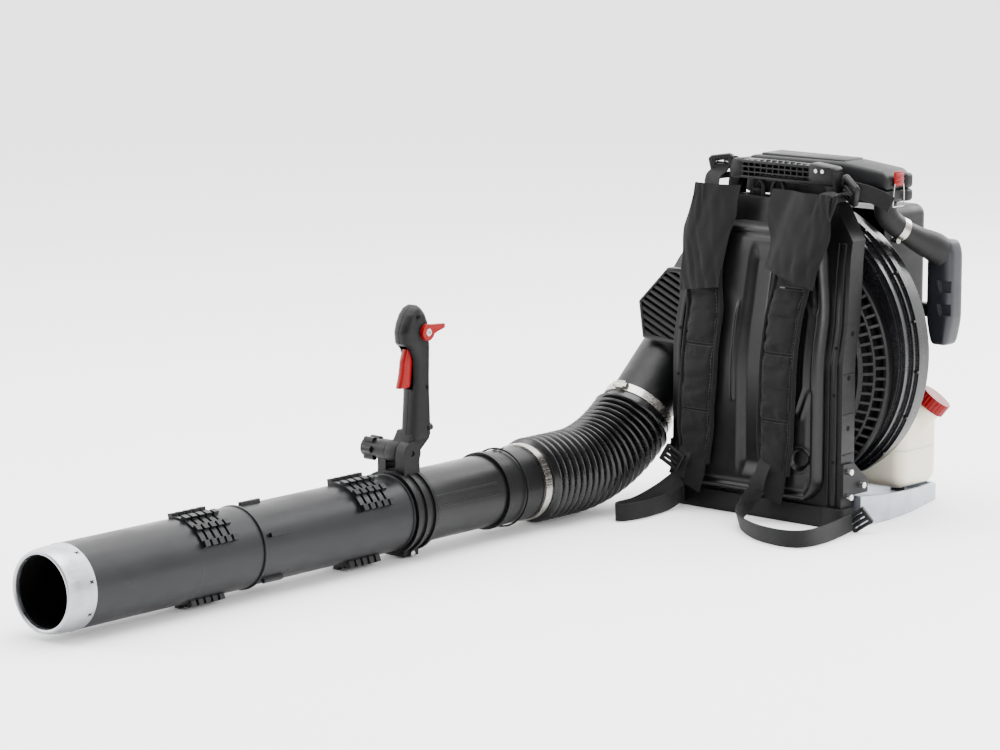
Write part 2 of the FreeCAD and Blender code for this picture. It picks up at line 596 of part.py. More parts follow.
def grip_shells():
    """The two halves of the grip, hollowed for the trigger, and the pivot ear."""
    slot = box("TriggerSlot", ("grip_split_x - trigger_half - part_gap", "grip_front_y - 30", "trigger_tip_z - 4"),
               ("grip_split_x + trigger_half + part_gap", "grip_rear_y - 14", "trigger_pivot_z + 12"))
    halves = (("grip_right_shell", "grip_split_x - grip_half_width", "grip_split_x"),
              ("grip_left_shell", "grip_split_x", "grip_split_x + grip_half_width"))
    for node, low, high in halves:
        shell = prism("Outer_" + node, "YZ", grip_outline(), low, high)
        rounded = DOC.addObject("Part::Fillet", "Rounded_" + node)
        rounded.Base = shell
        DOC.recompute()
        side = size(low) if node == "grip_right_shell" else size(high)
        rounded.Edges = [(index, 8.0, 8.0) for index, edge in enumerate(shell.Shape.Edges, start=1)
                         if all(abs(vertex.X - side) < 0.01 for vertex in edge.Vertexes)
                         and min(vertex.Z for vertex in edge.Vertexes) > size("grip_base_z + 1")]
        pieces = [rounded]
        if node == "grip_right_shell":
            ear = cylinder("PivotEar", "X", ("ear_inner_x", "pivot_y", "pivot_z"), "boss_radius - 1",
                           "ear_outer_x - ear_inner_x")
            neck = prism("PivotNeck", "YZ", [("pivot_y - 8", "pivot_z + 6"), ("pivot_y + 16", "pivot_z + 2"),
                                             ("grip_rear_y - 2", "grip_base_z"),
                                             ("grip_rear_y - 2", "grip_base_z + 6"),
                                             ("grip_front_y", "grip_base_z + 6")],
                         "ear_inner_x + 7", "ear_outer_x")
            pieces += [ear, neck]
        solid = fuse("Solid_" + node, *pieces) if len(pieces) > 1 else rounded
        pin_y = "trigger_pivot_y"
        pin = cylinder("PinHole_" + node, "X", ("grip_split_x - grip_half_width + 6", pin_y, "trigger_pivot_z"),
                       "trigger_pin + stud_gap", "2 * grip_half_width - 12")
        tools = [slot, pin]
        if node == "grip_right_shell":
            tools.append(cylinder("EarHole", "X", ("ear_inner_x - 1", "pivot_y", "pivot_z"),
                                  "stud_radius + stud_gap", "ear_outer_x - ear_inner_x + 2"))
        else:
            tools.append(cylinder("LeverSeat", "X", ("grip_split_x + grip_half_width - 8", "lever_y", "lever_z"),
                                  "bolt_radius + stud_gap", "9"))
        keep(node, cut("Cut_" + node, solid, *tools))


def throttle_trigger():
    """The throttle trigger on its cross pin."""
    blade = prism("TriggerBlade", "YZ",
                  [("trigger_pivot_y - 7", "trigger_pivot_z + 4"), ("trigger_pivot_y + 6", "trigger_pivot_z + 4"),
                   ("trigger_pivot_y + 5", "trigger_pivot_z - 20"), ("trigger_pivot_y + 2", "trigger_tip_z + 1"),
                   ("trigger_tip_y", "trigger_tip_z"), ("trigger_tip_y + 4", "trigger_tip_z + 18"),
                   ("trigger_pivot_y - 12", "trigger_pivot_z - 16")],
                  "grip_split_x - trigger_half", "grip_split_x + trigger_half")
    pin = cylinder("TriggerPin", "X", ("grip_split_x - grip_half_width + 7", "trigger_pivot_y", "trigger_pivot_z"),
                   "trigger_pin", "2 * grip_half_width - 14")
    keep("throttle_trigger", fuse("Trigger", blade, pin))


def cruise_lever():
    """The red lever that holds the throttle, and its screw."""
    face = "grip_split_x + grip_half_width + part_gap"
    disc = cylinder("LeverDisc", "X", (face, "lever_y", "lever_z"), "lever_radius", "lever_thickness")
    arm = prism("LeverArm", "YZ", [("lever_y", "lever_z - 8"), ("lever_y + 18", "lever_z - 1"),
                                   ("lever_y + lever_reach", "lever_z + 3"),
                                   ("lever_y + lever_reach", "lever_z + 9"), ("lever_y", "lever_z + 11")],
                face, face + " + lever_thickness")
    stub = cylinder("LeverStub", "X", ("grip_split_x + grip_half_width - 7", "lever_y", "lever_z"), "bolt_radius",
                    "8")
    keep("cruise_lever", fuse("CruiseLever", disc, arm, stub))
    keep("lever_screw", cylinder("LeverScrew", "X", (face + " + lever_thickness", "lever_y", "lever_z"),
                                 "bolt_radius - 1", "1.6"))


def cable_gland():
    """The throttle cable's outlet at the foot of the grip."""
    tube = cylinder("Gland", "Y", ("grip_split_x", "grip_rear_y", "grip_base_z + 12"), "5", "11")
    hole = cylinder("GlandHole", "Y", ("grip_split_x", "grip_rear_y", "grip_base_z + 12"), "3", "12")
    keep("cable_gland", cut("CableGland", tube, hole))


def lean(offset):
    """The leaning front face, moved along Y, as (place along Y, height)."""
    return [(f"{offset}", "0"), (f"{offset}", "lean_start_z"), (f"lean_knee_y + {offset}", "lean_knee_z"),
            (f"lean_top_y + {offset}", "lean_top_z")]


def leaning_band(name, front, rear):
    """A leaning layer between two distances behind the front face."""
    points = lean(front) + list(reversed(lean(rear)))
    return prism(name, "YZ", points, "-frame_half - 60", "frame_half + 60")


def back_frame():
    """The moulded frame that carries the machine: a leaning panel with side rails and a foot."""
    outline = [("-frame_half", "0"), ("frame_half", "0"), ("frame_half", "frame_side_z"),
               ("shoulder_half", "shoulder_z"), ("neck_half", "neck_z"), ("-neck_half", "neck_z"),
               ("-shoulder_half", "shoulder_z"), ("-frame_half", "frame_side_z")]
    face = prism("FrameOutline", "XZ", outline, "-60", "160")
    panel = common("FramePanel", face, leaning_band("FrameBand", "0", "frame_depth"))
    recess = [("-window_half", "window_low"), ("window_half", "window_low"), ("window_half", "frame_side_z + 20"),
              ("window_half - 24", "shoulder_z"), ("-window_half + 24", "shoulder_z"),
              ("-window_half", "frame_side_z + 20")]
    hollow_face = prism("FrameHollowOutline", "XZ", recess, "-60", "160")
    hollow = common("FrameHollow", hollow_face, leaning_band("FrameHollowBand", "frame_rib", "frame_depth + 30"))
    foot = box("FrameFoot", ("-frame_half", "-foot_front", "0"), ("frame_half", "frame_depth", "foot_height"))
    keep("back_frame", cut("BackFrame", fuse("FrameSolid", panel, foot), hollow))


def back_pad():
    """The moulded pad against the wearer's back."""
    outline = [("-pad_half + 12", "foot_height + 2"), ("pad_half - 12", "foot_height + 2"),
               ("pad_half", "foot_height + 30"), ("pad_half", "frame_side_z"), ("pad_half - 26", "pad_high"),
               ("-pad_half + 26", "pad_high"), ("-pad_half", "frame_side_z"), ("-pad_half", "foot_height + 30")]
    face = prism("PadOutline", "XZ", outline, "-60", "160")
    keep("back_pad", common("BackPad", face, leaning_band("PadBand", "-pad_thickness", "-pad_gap")))


def carry_handle():
    """The carrying handle: a windowed beam on two legs above the frame."""
    depth = "handle_depth"
    front = "lean_top_y - 16"
    beam = prism("HandleBeam", "XZ",
                 [("-handle_half", "handle_low - 6"), ("-handle_half", "handle_low + 8"),
                  ("-handle_half + 22", "handle_high"), ("handle_half - 22", "handle_high"),
                  ("handle_half", "handle_low + 8"), ("handle_half", "handle_low - 6"),
                  ("handle_half - 26", "handle_low"), ("-handle_half + 26", "handle_low")],
                 front, f"{front} + {depth}")
    legs = []
    for side, name in ((-1, "Right"), (1, "Left")):
        legs.append(prism("HandleLeg" + name, "XZ",
                          [(f"{side} * handle_half", "handle_low + 2"),
                           (f"{side} * (handle_half - handle_leg)", "handle_low + 2"),
                           (f"{side} * (neck_half - handle_leg - 4)", "neck_z"),
                           (f"{side} * (neck_half - 2)", "neck_z")],
                          front, f"{front} + {depth}"))
    windows = []
    count = DIMENSIONS["handle_windows"]
    for index in range(count):
        centre = f"{index - (count - 1) / 2} * (handle_window + 3.5)"
        windows.append(box(f"HandleWindow{index}", (f"{centre} - handle_window / 2", f"{front} - 1",
                                                   "handle_low + 6"),
                           (f"{centre} + handle_window / 2", f"{front} + {depth} - 6", "handle_high - 5")))
    keep("carry_handle", cut("CarryHandle", fuse("HandleSolid", beam, *legs), *windows))


def frame_hardware():
    """The side brackets, all their bolts and the handle's screws."""
    brackets = []
    bolts = []
    for side, name in ((-1, "Right"), (1, "Left")):
        inner = f"{side} * (frame_half + part_gap)" if side > 0 else "-(frame_half + part_gap + bracket_thickness)"
        outer = f"{inner} + bracket_thickness"
        brackets.append(prism("Bracket" + name, "YZ",
                              [("0", "base_front_height + 3"), ("bracket_rear_y", "base_front_height + 3"),
                               ("bracket_rear_y", "base_front_height + 20"), ("26", "bracket_top"),
                               ("0", "bracket_top")], inner, outer))
        face = outer if side > 0 else f"{inner} - bolt_length"
        for number, (place_y, place_z) in enumerate((("12", "foot_height + 18"), ("12", "bracket_top - 12"),
                                                     ("44", "base_front_height + 16"))):
            bolts.append(cylinder(f"Bolt{name}{number}", "X", (face, place_y, place_z), "bolt_head / 2 + 1",
                                  "bolt_length"))
    for number, place in enumerate(("handle_half - 30", "handle_half - 18")):
        bolts.append(cylinder(f"HandleScrew{number}", "Y", (place, "lean_top_y - 18", "handle_low + 12"),
                              "bolt_radius - 1", "2"))
    keep("frame_brackets", group("FrameBrackets", *brackets))
    keep("frame_bolts", group("FrameBolts", *bolts))


def base_frame():
    """The alloy base: a tray whose wall falls from front to rear."""
    made = body("base_frame")
    half = [("base_half", "base_front"), ("base_wide", "base_wide_y"), ("base_mid", "base_mid_y"),
            ("base_rear_half", "base_rear_y"), ("base_back_half", "base_back_y")]
    outline = half + [(f"-{x}", y) for x, y in reversed(half)]
    pad = made.newObject("PartDesign::Pad", "BasePad")
    pad.Profile = body_sketch(made, "XY", outline)
    bind(pad, Length="base_front_height")
    made.Tip = pad
    inner = [("base_half - base_wall", "base_front + base_wall"), ("base_wide - base_wall", "base_wide_y"),
             ("base_mid - base_wall", "base_mid_y"), ("base_rear_half - base_wall", "base_rear_y - base_wall"),
             ("base_back_half - base_wall", "base_back_y - base_wall")]
    pocket_sketch = body_sketch(made, "XY", inner + [(f"-({x})", y) for x, y in reversed(inner)],
                                "base_front_height")
    pocket = made.newObject("PartDesign::Pocket", "BaseHollow")
    pocket.Profile = pocket_sketch
    bind(pocket, Length="base_front_height - base_floor")
    made.Tip = pocket
    slope_sketch = body_sketch(made, "YZ", [("base_front - 5", "base_front_height"),
                                            ("base_back_y + 5", "base_rear_height - 4"),
                                            ("base_back_y + 5", "base_front_height + 10"),
                                            ("base_front - 5", "base_front_height + 10")])
    slope = made.newObject("PartDesign::Pocket", "BaseSlope")
    slope.Profile = slope_sketch
    slope.Type = 1
    slope.Midplane = True
    made.Tip = slope


def vibration_mounts():
    """Four rubber mounts between the base and the machine."""
    pieces = []
    for name, x in (("Right", "-mount_x"), ("Left", "mount_x")):
        front = cylinder("MountFront" + name, "Z", (x, "mount_y - 20", "base_floor"), "mount_radius",
                         "mount_top - base_floor")
        rear = cylinder("MountRear" + name, "Z", (f"{x} * 0.6", "base_rear_y", "base_floor"), "mount_radius - 2",
                        "tank_low - base_floor + 60")
        pieces += [front, rear]
    keep("vibration_mounts", group("VibrationMounts", *pieces))


def scroll_wire(inset, level, past):
    """The scroll's outline in the plane of the fan, moved inwards, and carried past the mouth."""
    start = size("scroll_start")
    span = size("scroll_turn")
    steps = 40
    points = []
    for step in range(steps + 1):
        turned = span * step / steps
        radius = size("scroll_radius") * math.exp(size("scroll_growth") * math.radians(turned)) - inset
        angle = math.radians(start + turned)
        points.append(FreeCAD.Vector(radius * math.cos(angle), level, size("fan_z") + radius * math.sin(angle)))
    curve = Part.BSplineCurve()
    curve.interpolate(points)
    outer_x = size("duct_outer_x") + inset
    knee = FreeCAD.Vector(outer_x, level, size("duct_knee_z"))
    foot = FreeCAD.Vector(outer_x, level, size("outlet_z") - past)
    heel = FreeCAD.Vector(points[0].x - past, level, foot.z)
    corners = [points[-1], knee, foot, heel, points[0]]
    edges = [curve.toShape()]
    for first, second in zip(corners, corners[1:]):
        if first.distanceToPoint(second) > 0.01:
            edges.append(Part.LineSegment(first, second).toShape())
    return Part.Wire(Part.__sortEdges__(edges))


def scroll_solid(slabs, past=0):
    """Slabs with the scroll's outline, one behind the other. Each is (inset, front, rear)."""
    parts = []
    for inset, front, rear in slabs:
        face = Part.Face(scroll_wire(inset, front, past))
        parts.append(face.extrude(FreeCAD.Vector(0, rear - front, 0)))
    whole = parts[0]
    for part in parts[1:]:
        whole = whole.fuse(part)
    return whole.removeSplitter()


def flange(front, rear):
    """The bolted rim round a half of the volute, above the base."""
    rim = scroll_solid([(-size("flange_out"), front, rear)])
    corner = FreeCAD.Vector(-400, front - 1, size("fan_z") - 400)
    return rim.cut(Part.makeBox(800, rear - front + 2, size("flange_low") - corner.z, corner))


def fan_housings():
    """The two halves of the volute, with the inlet in front and the shaft hole behind."""
    wall = size("shell")
    along = FreeCAD.Vector(0, 1, 0)
    front, middle, rear = size("volute_front"), size("volute_middle"), size("volute_rear")
    step, shoulder = size("step_front"), size("step_middle")
    first, second = size("step_front_in"), size("step_middle_in")
    outside = scroll_solid([(first, front, step), (second, step, shoulder), (0, shoulder, middle)])
    outside = outside.fuse(flange(middle - size("flange_thick"), middle))
    inside = scroll_solid([(first + wall, front + wall, step + wall), (second + wall, step + wall, shoulder + wall),
                           (wall, shoulder + wall, middle + 1)], 1)
    bore = Part.makeCylinder(size("inlet_radius"), middle - front, FreeCAD.Vector(0, front - 1, size("fan_z")), along)
    keep("fan_housing_front", shaped("HousingFront", outside.cut(inside).cut(bore).removeSplitter()))
    step, first = size("step_rear"), size("step_rear_in")
    outside = scroll_solid([(0, middle, step), (first, step, rear)])
    outside = outside.fuse(flange(middle, middle + size("flange_thick")))
    inside = scroll_solid([(wall, middle - 1, step - wall), (first + wall, step - wall, rear - wall)], 1)
    bore = Part.makeCylinder(size("shaft_hole"), rear - middle, FreeCAD.Vector(0, middle + 1, size("fan_z")), along)
    keep("fan_housing_rear", shaped("HousingRear", outside.cut(inside).cut(bore).removeSplitter()))


def intake_guard():
    """The slatted cone between the back frame and the fan housing."""
    made = body("intake_guard")
    wall = "guard_wall"
    rear = "volute_front - part_gap"
    turn(made, [(f"guard_front_radius - {wall}", "guard_front"), ("guard_front_radius", "guard_front"),
                ("guard_rear_radius", f"{rear} - 10"), ("guard_rear_radius", rear),
                (f"guard_rear_radius - {wall}", rear), (f"guard_rear_radius - {wall}", f"{rear} - 9")])
    slot_sketch = body_sketch(made, "YZ", [("guard_front + 7", "-guard_slot_width / 2"),
                                           (f"{rear} - 13", "-guard_slot_width / 2"),
                                           (f"{rear} - 13", "guard_slot_width / 2"),
                                           ("guard_front + 7", "guard_slot_width / 2")])
    slot = made.newObject("PartDesign::Pocket", "GuardSlot")
    slot.Profile = slot_sketch
    slot.Reversed = True
    bind(slot, Length="guard_rear_radius + 10")
    made.Tip = slot
    polar(made, slot, "guard_slots")
    move(made, ("0", "0", "fan_z"))
    EXPORTS.pop()
    made.Label = "slatted_cone"
    frame_room = leaning_band("GuardFrameRoom", "-60", "frame_depth + part_gap")
    elbow_room = box("GuardElbowRoom", ("duct_outer_x - 10", "guard_front - 10", "fan_z - 100"),
                     ("tube_x + elbow_radius + 4", "volute_front + 10", "outlet_z + 10"))
    keep("intake_guard", cut("IntakeGuard", made, frame_room, elbow_room))


def outlet_guard():
    """The slatted cover in front of the fan outlet."""
    front = "guard_lobe_front"
    outline = [("guard_lobe_x + 8", "guard_lobe_low"), ("guard_lobe_inner_x", "guard_lobe_low - 6"),
               ("guard_lobe_inner_x", "guard_lobe_high"), ("guard_lobe_x + 56", "guard_lobe_high"),
               ("guard_lobe_x", "guard_lobe_low + 62")]
    plate = prism("OutletPlate", "XZ", outline, front, f"{front} + 12")
    inner = [("guard_lobe_x + 12", "guard_lobe_low + 4"), ("guard_lobe_inner_x - 4", "guard_lobe_low - 2"),
             ("guard_lobe_inner_x - 4", "guard_lobe_high - 4"), ("guard_lobe_x + 58", "guard_lobe_high - 4"),
             ("guard_lobe_x + 4", "guard_lobe_low + 61")]
    hollow = prism("OutletHollow", "XZ", inner, f"{front} + 3", f"{front} + 13")
    slots = []
    for index in range(DIMENSIONS["lobe_slots"]):
        level = f"guard_lobe_low + 10 + {index} * 12.5"
        slots.append(box(f"OutletSlot{index}", ("guard_lobe_x + 16", f"{front} - 1", level),
                         ("guard_lobe_inner_x - 12", f"{front} + 4", f"{level} + lobe_slot_height")))
    keep("outlet_guard", cut("OutletGuard", plate, hollow, *slots))


def fan_impeller():
    """The fan wheel: back plate, hub and backward-swept blades."""
    made = body("fan_impeller")
    turn(made, [("shaft_radius", "hub_front"), ("hub_radius", "hub_front"), ("hub_radius", "impeller_rear"),
                ("impeller_radius", "impeller_rear"), ("impeller_radius", "impeller_rear + impeller_plate"),
                ("shaft_radius", "impeller_rear + impeller_plate")])
    blade_sketch = body_sketch(made, "XZ",
                               [("impeller_eye", "0"), ("impeller_eye + 3", "-blade_thickness"),
                                ("impeller_radius * 0.92", "-blade_sweep - blade_thickness"),
                                ("impeller_radius * 0.92", "-blade_sweep")],
                               "-impeller_rear - 1")
    blade = made.newObject("PartDesign::Pad", "Blade")
    blade.Profile = blade_sketch
    bind(blade, Length="impeller_rear + 1 - impeller_front")
    made.Tip = blade
    polar(made, blade, "blade_count")
    move(made, ("0", "0", "fan_z"))


def crankshaft():
    """The crankshaft, with two webs and the crank pin."""
    pieces = [cylinder("ShaftFront", "Y", ("0", "shaft_front", "fan_z"), "shaft_radius",
                       "web_front + 2 - shaft_front"),
              cylinder("WebFront", "Y", ("0", "web_front", "fan_z"), "web_radius", "web_thick"),
              cylinder("CrankPin", "Y", ("crank_throw", "web_front + 2", "fan_z"), "crank_pin",
                       "web_rear - web_front + 2"),
              cylinder("WebRear", "Y", ("0", "web_rear", "fan_z"), "web_radius", "web_thick"),
              cylinder("ShaftRear", "Y", ("0", "web_rear + 2", "fan_z"), "shaft_radius",
                       "shaft_rear - web_rear - 2")]
    keep("crankshaft", fuse("Crankshaft", *pieces))
    wheel = cylinder("FlywheelDisc", "Y", ("0", "flywheel_front", "fan_z"), "flywheel_radius",
                     "flywheel_rear - flywheel_front")
    hole = cylinder("FlywheelHole", "Y", ("0", "flywheel_front - 1", "fan_z"), "shaft_radius",
                    "flywheel_rear - flywheel_front + 2")
    keep("flywheel", cut("Flywheel", wheel, hole))


def crankcase():
    """The crankcase, open to the cylinder above, with both main bearings."""
    block = box("CaseBlock", ("-case_half", "case_front", "case_low"), ("case_half", "case_rear", "deck_z"))
    room = cylinder("CaseRoom", "Y", ("0", "room_front", "fan_z"), "crank_room", "room_rear - room_front")
    bearing = cylinder("CaseBearing", "Y", ("0", "case_front - 1", "fan_z"), "shaft_radius + running_gap",
                       "case_rear - case_front + 2")
    mouth = cylinder("CaseMouth", "Z", ("0", "bore_y", "fan_z"), "bore_radius + running_gap",
                     "deck_z - fan_z + 1")
    keep("crankcase", cut("Crankcase", block, room, bearing, mouth))


def engine_cylinder():
    """The cylinder with its cooling fins and bore."""
    made = body("cylinder")
    radius = "barrel_radius"
    barrel = made.newObject("PartDesign::Pad", "Barrel")
    barrel.Profile = body_sketch(made, "XY", [(f"-{radius}", f"bore_y - {radius}"), (radius, f"bore_y - {radius}"),
                                              (radius, f"bore_y + {radius}"), (f"-{radius}", f"bore_y + {radius}")],
                                 "deck_z")
    bind(barrel, Length="head_z - deck_z")
    made.Tip = barrel
    fin = made.newObject("PartDesign::Pad", "Fin")
    fin.Profile = body_sketch(made, "XY", [("-fin_half", "bore_y - fin_depth / 2"),
                                           ("fin_half", "bore_y - fin_depth / 2"),
                                           ("fin_half", "bore_y + fin_depth / 2"),
                                           ("-fin_half", "bore_y + fin_depth / 2")], "fin_first")
    bind(fin, Length="fin_thickness")
    made.Tip = fin
    fins = made.newObject("PartDesign::LinearPattern", "Fins")
    fins.Originals = [fin]
    fins.Direction = (next(f for f in made.Origin.OriginFeatures if f.Role == "Z_Axis"), [""])
    bind(fins, Length="fin_pitch * (fin_count - 1)", Occurrences="fin_count")
    made.Tip = fins
    EXPORTS.pop()
    made.Label = "finned_block"
    bore = cylinder("CylinderBore", "Z", ("0", "bore_y", "deck_z - 1"), "bore_radius + running_gap",
                    "bore_top - deck_z + 1")
    keep("cylinder", cut("Cylinder", made, bore))


def piston():
    """The piston, hollow from below."""
    solid = cylinder("PistonSolid", "Z", ("0", "bore_y", "piston_low"), "bore_radius", "piston_height")
    hollow = cylinder("PistonHollow", "Z", ("0", "bore_y", "piston_low - 1"), "bore_radius - piston_skirt",
                      "piston_height - piston_crown + 1")
    keep("piston", cut("Piston", solid, hollow))


def spark_plug():
    """The spark plug and the cap on it."""
    stem = cylinder("PlugStem", "Z", ("0", "bore_y", "plug_low"), "plug_radius", "plug_high - plug_low")
    nut = cylinder("PlugNut", "Z", ("0", "bore_y", "plug_low"), "plug_hex", "10")
    keep("spark_plug", fuse("SparkPlug", stem, nut))
    outer = cylinder("CapOuter", "Z", ("0", "bore_y", "cap_low"), "cap_radius", "cap_high - cap_low")
    inner = cylinder("CapInner", "Z", ("0", "bore_y", "cap_low - 1"), "plug_radius + part_gap",
                     "plug_high + 1 - cap_low")
    keep("plug_cap", cut("PlugCap", outer, inner))


def muffler():
    """The silencer box and its tail pipe."""
    case = box("MufflerBox", ("muffler_outer_x", "muffler_front", "muffler_low"),
               ("muffler_inner_x", "muffler_rear", "muffler_high"))
    rounded = DOC.addObject("Part::Fillet", "MufflerRounded")
    rounded.Base = case
    DOC.recompute()
    rounded.Edges = [(index, size("muffler_edge"), size("muffler_edge")) for index in range(1, 13)]
    tail = cylinder("TailPipe", "X", ("-cover_half - 8", "tail_y", "tail_z"), "tail_radius", "20")
    passage = cylinder("TailBore", "X", ("-cover_half - 9", "tail_y", "tail_z"), "tail_radius - muffler_wall", "26")
    room = box("MufflerRoom", ("muffler_outer_x + muffler_wall", "muffler_front + muffler_wall",
                               "muffler_low + muffler_wall"),
               ("muffler_inner_x - muffler_wall", "muffler_rear - muffler_wall", "muffler_high - muffler_wall"))
    keep("muffler", cut("Muffler", fuse("MufflerSolid", rounded, tail), passage, room))


def carburettor():
    """The carburettor beside the cylinder."""
    block = box("CarbBlock", ("carb_inner_x", "carb_front", "carb_low"), ("carb_outer_x", "carb_rear", "carb_high"))
    throat = cylinder("CarbThroat", "X", ("carb_inner_x - 1", "(carb_front + carb_rear) / 2",
                                          "(carb_low + carb_high) / 2"), "throat_radius",
                      "carb_outer_x - carb_inner_x + 2")
    keep("carburettor", cut("Carburettor", block, throat))


def engine_cover():
    """The hood over the engine, open towards the fan."""
    outer = box("CoverOuter", ("-cover_half", "cover_front", "cover_low"), ("cover_half", "cover_rear", "cover_high"))
    rounded = DOC.addObject("Part::Fillet", "CoverRounded")
    rounded.Base = outer
    DOC.recompute()
    front = size("cover_front")
    rounded.Edges = [(index, size("cover_edge"), size("cover_edge"))
                     for index, edge in enumerate(outer.Shape.Edges, start=1)
                     if max(vertex.Y for vertex in edge.Vertexes) > front + 1]
    room_block = box("CoverRoomBlock", ("-cover_half + cover_wall", "cover_front - 1", "cover_low + cover_wall"),
                     ("cover_half - cover_wall", "cover_rear - cover_wall", "cover_high - cover_wall"))
    room = DOC.addObject("Part::Fillet", "CoverRoom")
    room.Base = room_block
    DOC.recompute()
    room.Edges = [(index, size("cover_edge - cover_wall"), size("cover_edge - cover_wall"))
                  for index, edge in enumerate(room_block.Shape.Edges, start=1)
                  if max(vertex.Y for vertex in edge.Vertexes) > front]
    tail = cylinder("CoverTailHole", "X", ("-cover_half - 1", "tail_y", "tail_z"), "tail_radius + 2", "8")
    wheel = cylinder("CoverWheelHole", "Y", ("0", "cover_rear - cover_wall - 1", "fan_z"),
                     "flywheel_radius - 4", "cover_wall + 2")
    choke = cylinder("CoverChokeHole", "X", ("cover_half - cover_wall - 1", "choke_y", "choke_z"),
                     "bolt_radius + stud_gap", "cover_wall + 2")
    bulb = cylinder("CoverBulbHole", "X", ("cover_half - cover_wall - 1", "bulb_y", "bulb_z"),
                    "bulb_radius + part_gap", "cover_wall + 2")
    keep("engine_cover", cut("EngineCover", rounded, room, tail, wheel, choke, bulb))


def recoil_starter():
    """The starter housing with its post, the pulley on the post, and the pull handle."""
    shell = cylinder("RecoilShell", "Y", ("0", "recoil_front", "fan_z"), "recoil_radius",
                     "recoil_rear - recoil_front")
    room = cylinder("RecoilRoom", "Y", ("0", "recoil_front - 1", "fan_z"), "recoil_radius - recoil_wall",
                    "recoil_rear - recoil_front - recoil_wall + 1")
    slots = []
    count = DIMENSIONS["recoil_slots"]
    for index in range(count):
        angle = 2 * math.pi * index / count
        slots.append(cylinder(f"RecoilVent{index}", "Y", (f"54 * {math.cos(angle):.4f}", "recoil_rear - 5",
                                                         f"fan_z + 54 * {math.sin(angle):.4f}"), "8", "6"))
    outlet = cylinder("RecoilOutlet", "X", ("40", "starter_y", "starter_z"), "cord_hole", "40")
    post = cylinder("RecoilPost", "Y", ("0", "pulley_front - 2", "fan_z"), "post_radius",
                    "recoil_rear - pulley_front")
    shell_cut = cut("RecoilShellCut", shell, room, outlet, *slots)
    keep("recoil_housing", fuse("RecoilHousing", shell_cut, post))
    made = body("starter_pulley")
    turn(made, [("post_radius + stud_gap", "pulley_front"), ("pulley_radius", "pulley_front"),
                ("pulley_radius", "pulley_front + 4"), ("pulley_radius - pulley_groove", "pulley_front + 5.5"),
                ("pulley_radius - pulley_groove", "pulley_rear - 5.5"), ("pulley_radius", "pulley_rear - 4"),
                ("pulley_radius", "pulley_rear"), ("post_radius + stud_gap", "pulley_rear")])
    move(made, ("0", "0", "fan_z"))
    grip = cylinder("StarterGrip", "Z", ("starter_x + 11", "starter_y", "starter_z - starter_span"), "8",
                    "2 * starter_span")
    stem = cylinder("StarterStem", "X", ("starter_x + 1", "starter_y", "starter_z"), "6", "8")
    cord = cylinder("StarterCord", "X", ("starter_x - 30", "starter_y", "starter_z"), "cord_radius", "34")
    keep("starter_handle", fuse("StarterHandle", grip, stem, cord))


def choke_and_primer():
    """The choke lever outside the hood and the primer bulb below the duct."""
    face = "cover_half + part_gap"
    disc = cylinder("ChokeDisc", "X", (face, "choke_y", "choke_z"), "choke_radius", "choke_thick")
    arm = box("ChokeArm", (face, "choke_y - 4", "choke_z - choke_arm"), (f"{face} + choke_thick", "choke_y + 4",
                                                                        "choke_z"))
    shaft = cylinder("ChokeShaft", "X", ("cover_half - 12", "choke_y", "choke_z"), "bolt_radius", "13")
    keep("choke_lever", fuse("ChokeLever", disc, arm, shaft))
    seat = "cover_half + part_gap"
    bulb = cylinder("BulbBody", "X", (seat, "bulb_y", "bulb_z"), "bulb_radius", "bulb_length")
    rounded = DOC.addObject("Part::Fillet", "BulbRounded")
    rounded.Base = bulb
    DOC.recompute()
    tip = size(seat) + size("bulb_length")
    rounded.Edges = [(index, 9.0, 9.0) for index, edge in enumerate(bulb.Shape.Edges, start=1)
                     if all(abs(vertex.X - tip) < 0.01 for vertex in edge.Vertexes)]
    keep("primer_bulb", rounded)


def box_outline(grow):
    """The air cleaner seen from the front, shrunk by a wall."""
    return [(f"box_left + {grow}", f"box_low + {grow}"), (f"box_right - {grow}", f"box_low + {grow}"),
            (f"box_right - {grow}", "box_end_z"), (f"box_slope_x - {grow}", f"box_slope_z - {grow}"),
            (f"box_flat_right - {grow}", f"box_top - {grow}"), (f"box_left + {grow} + 10", f"box_top - {grow}"),
            (f"box_left + {grow}", f"box_top - {grow} - 10")]


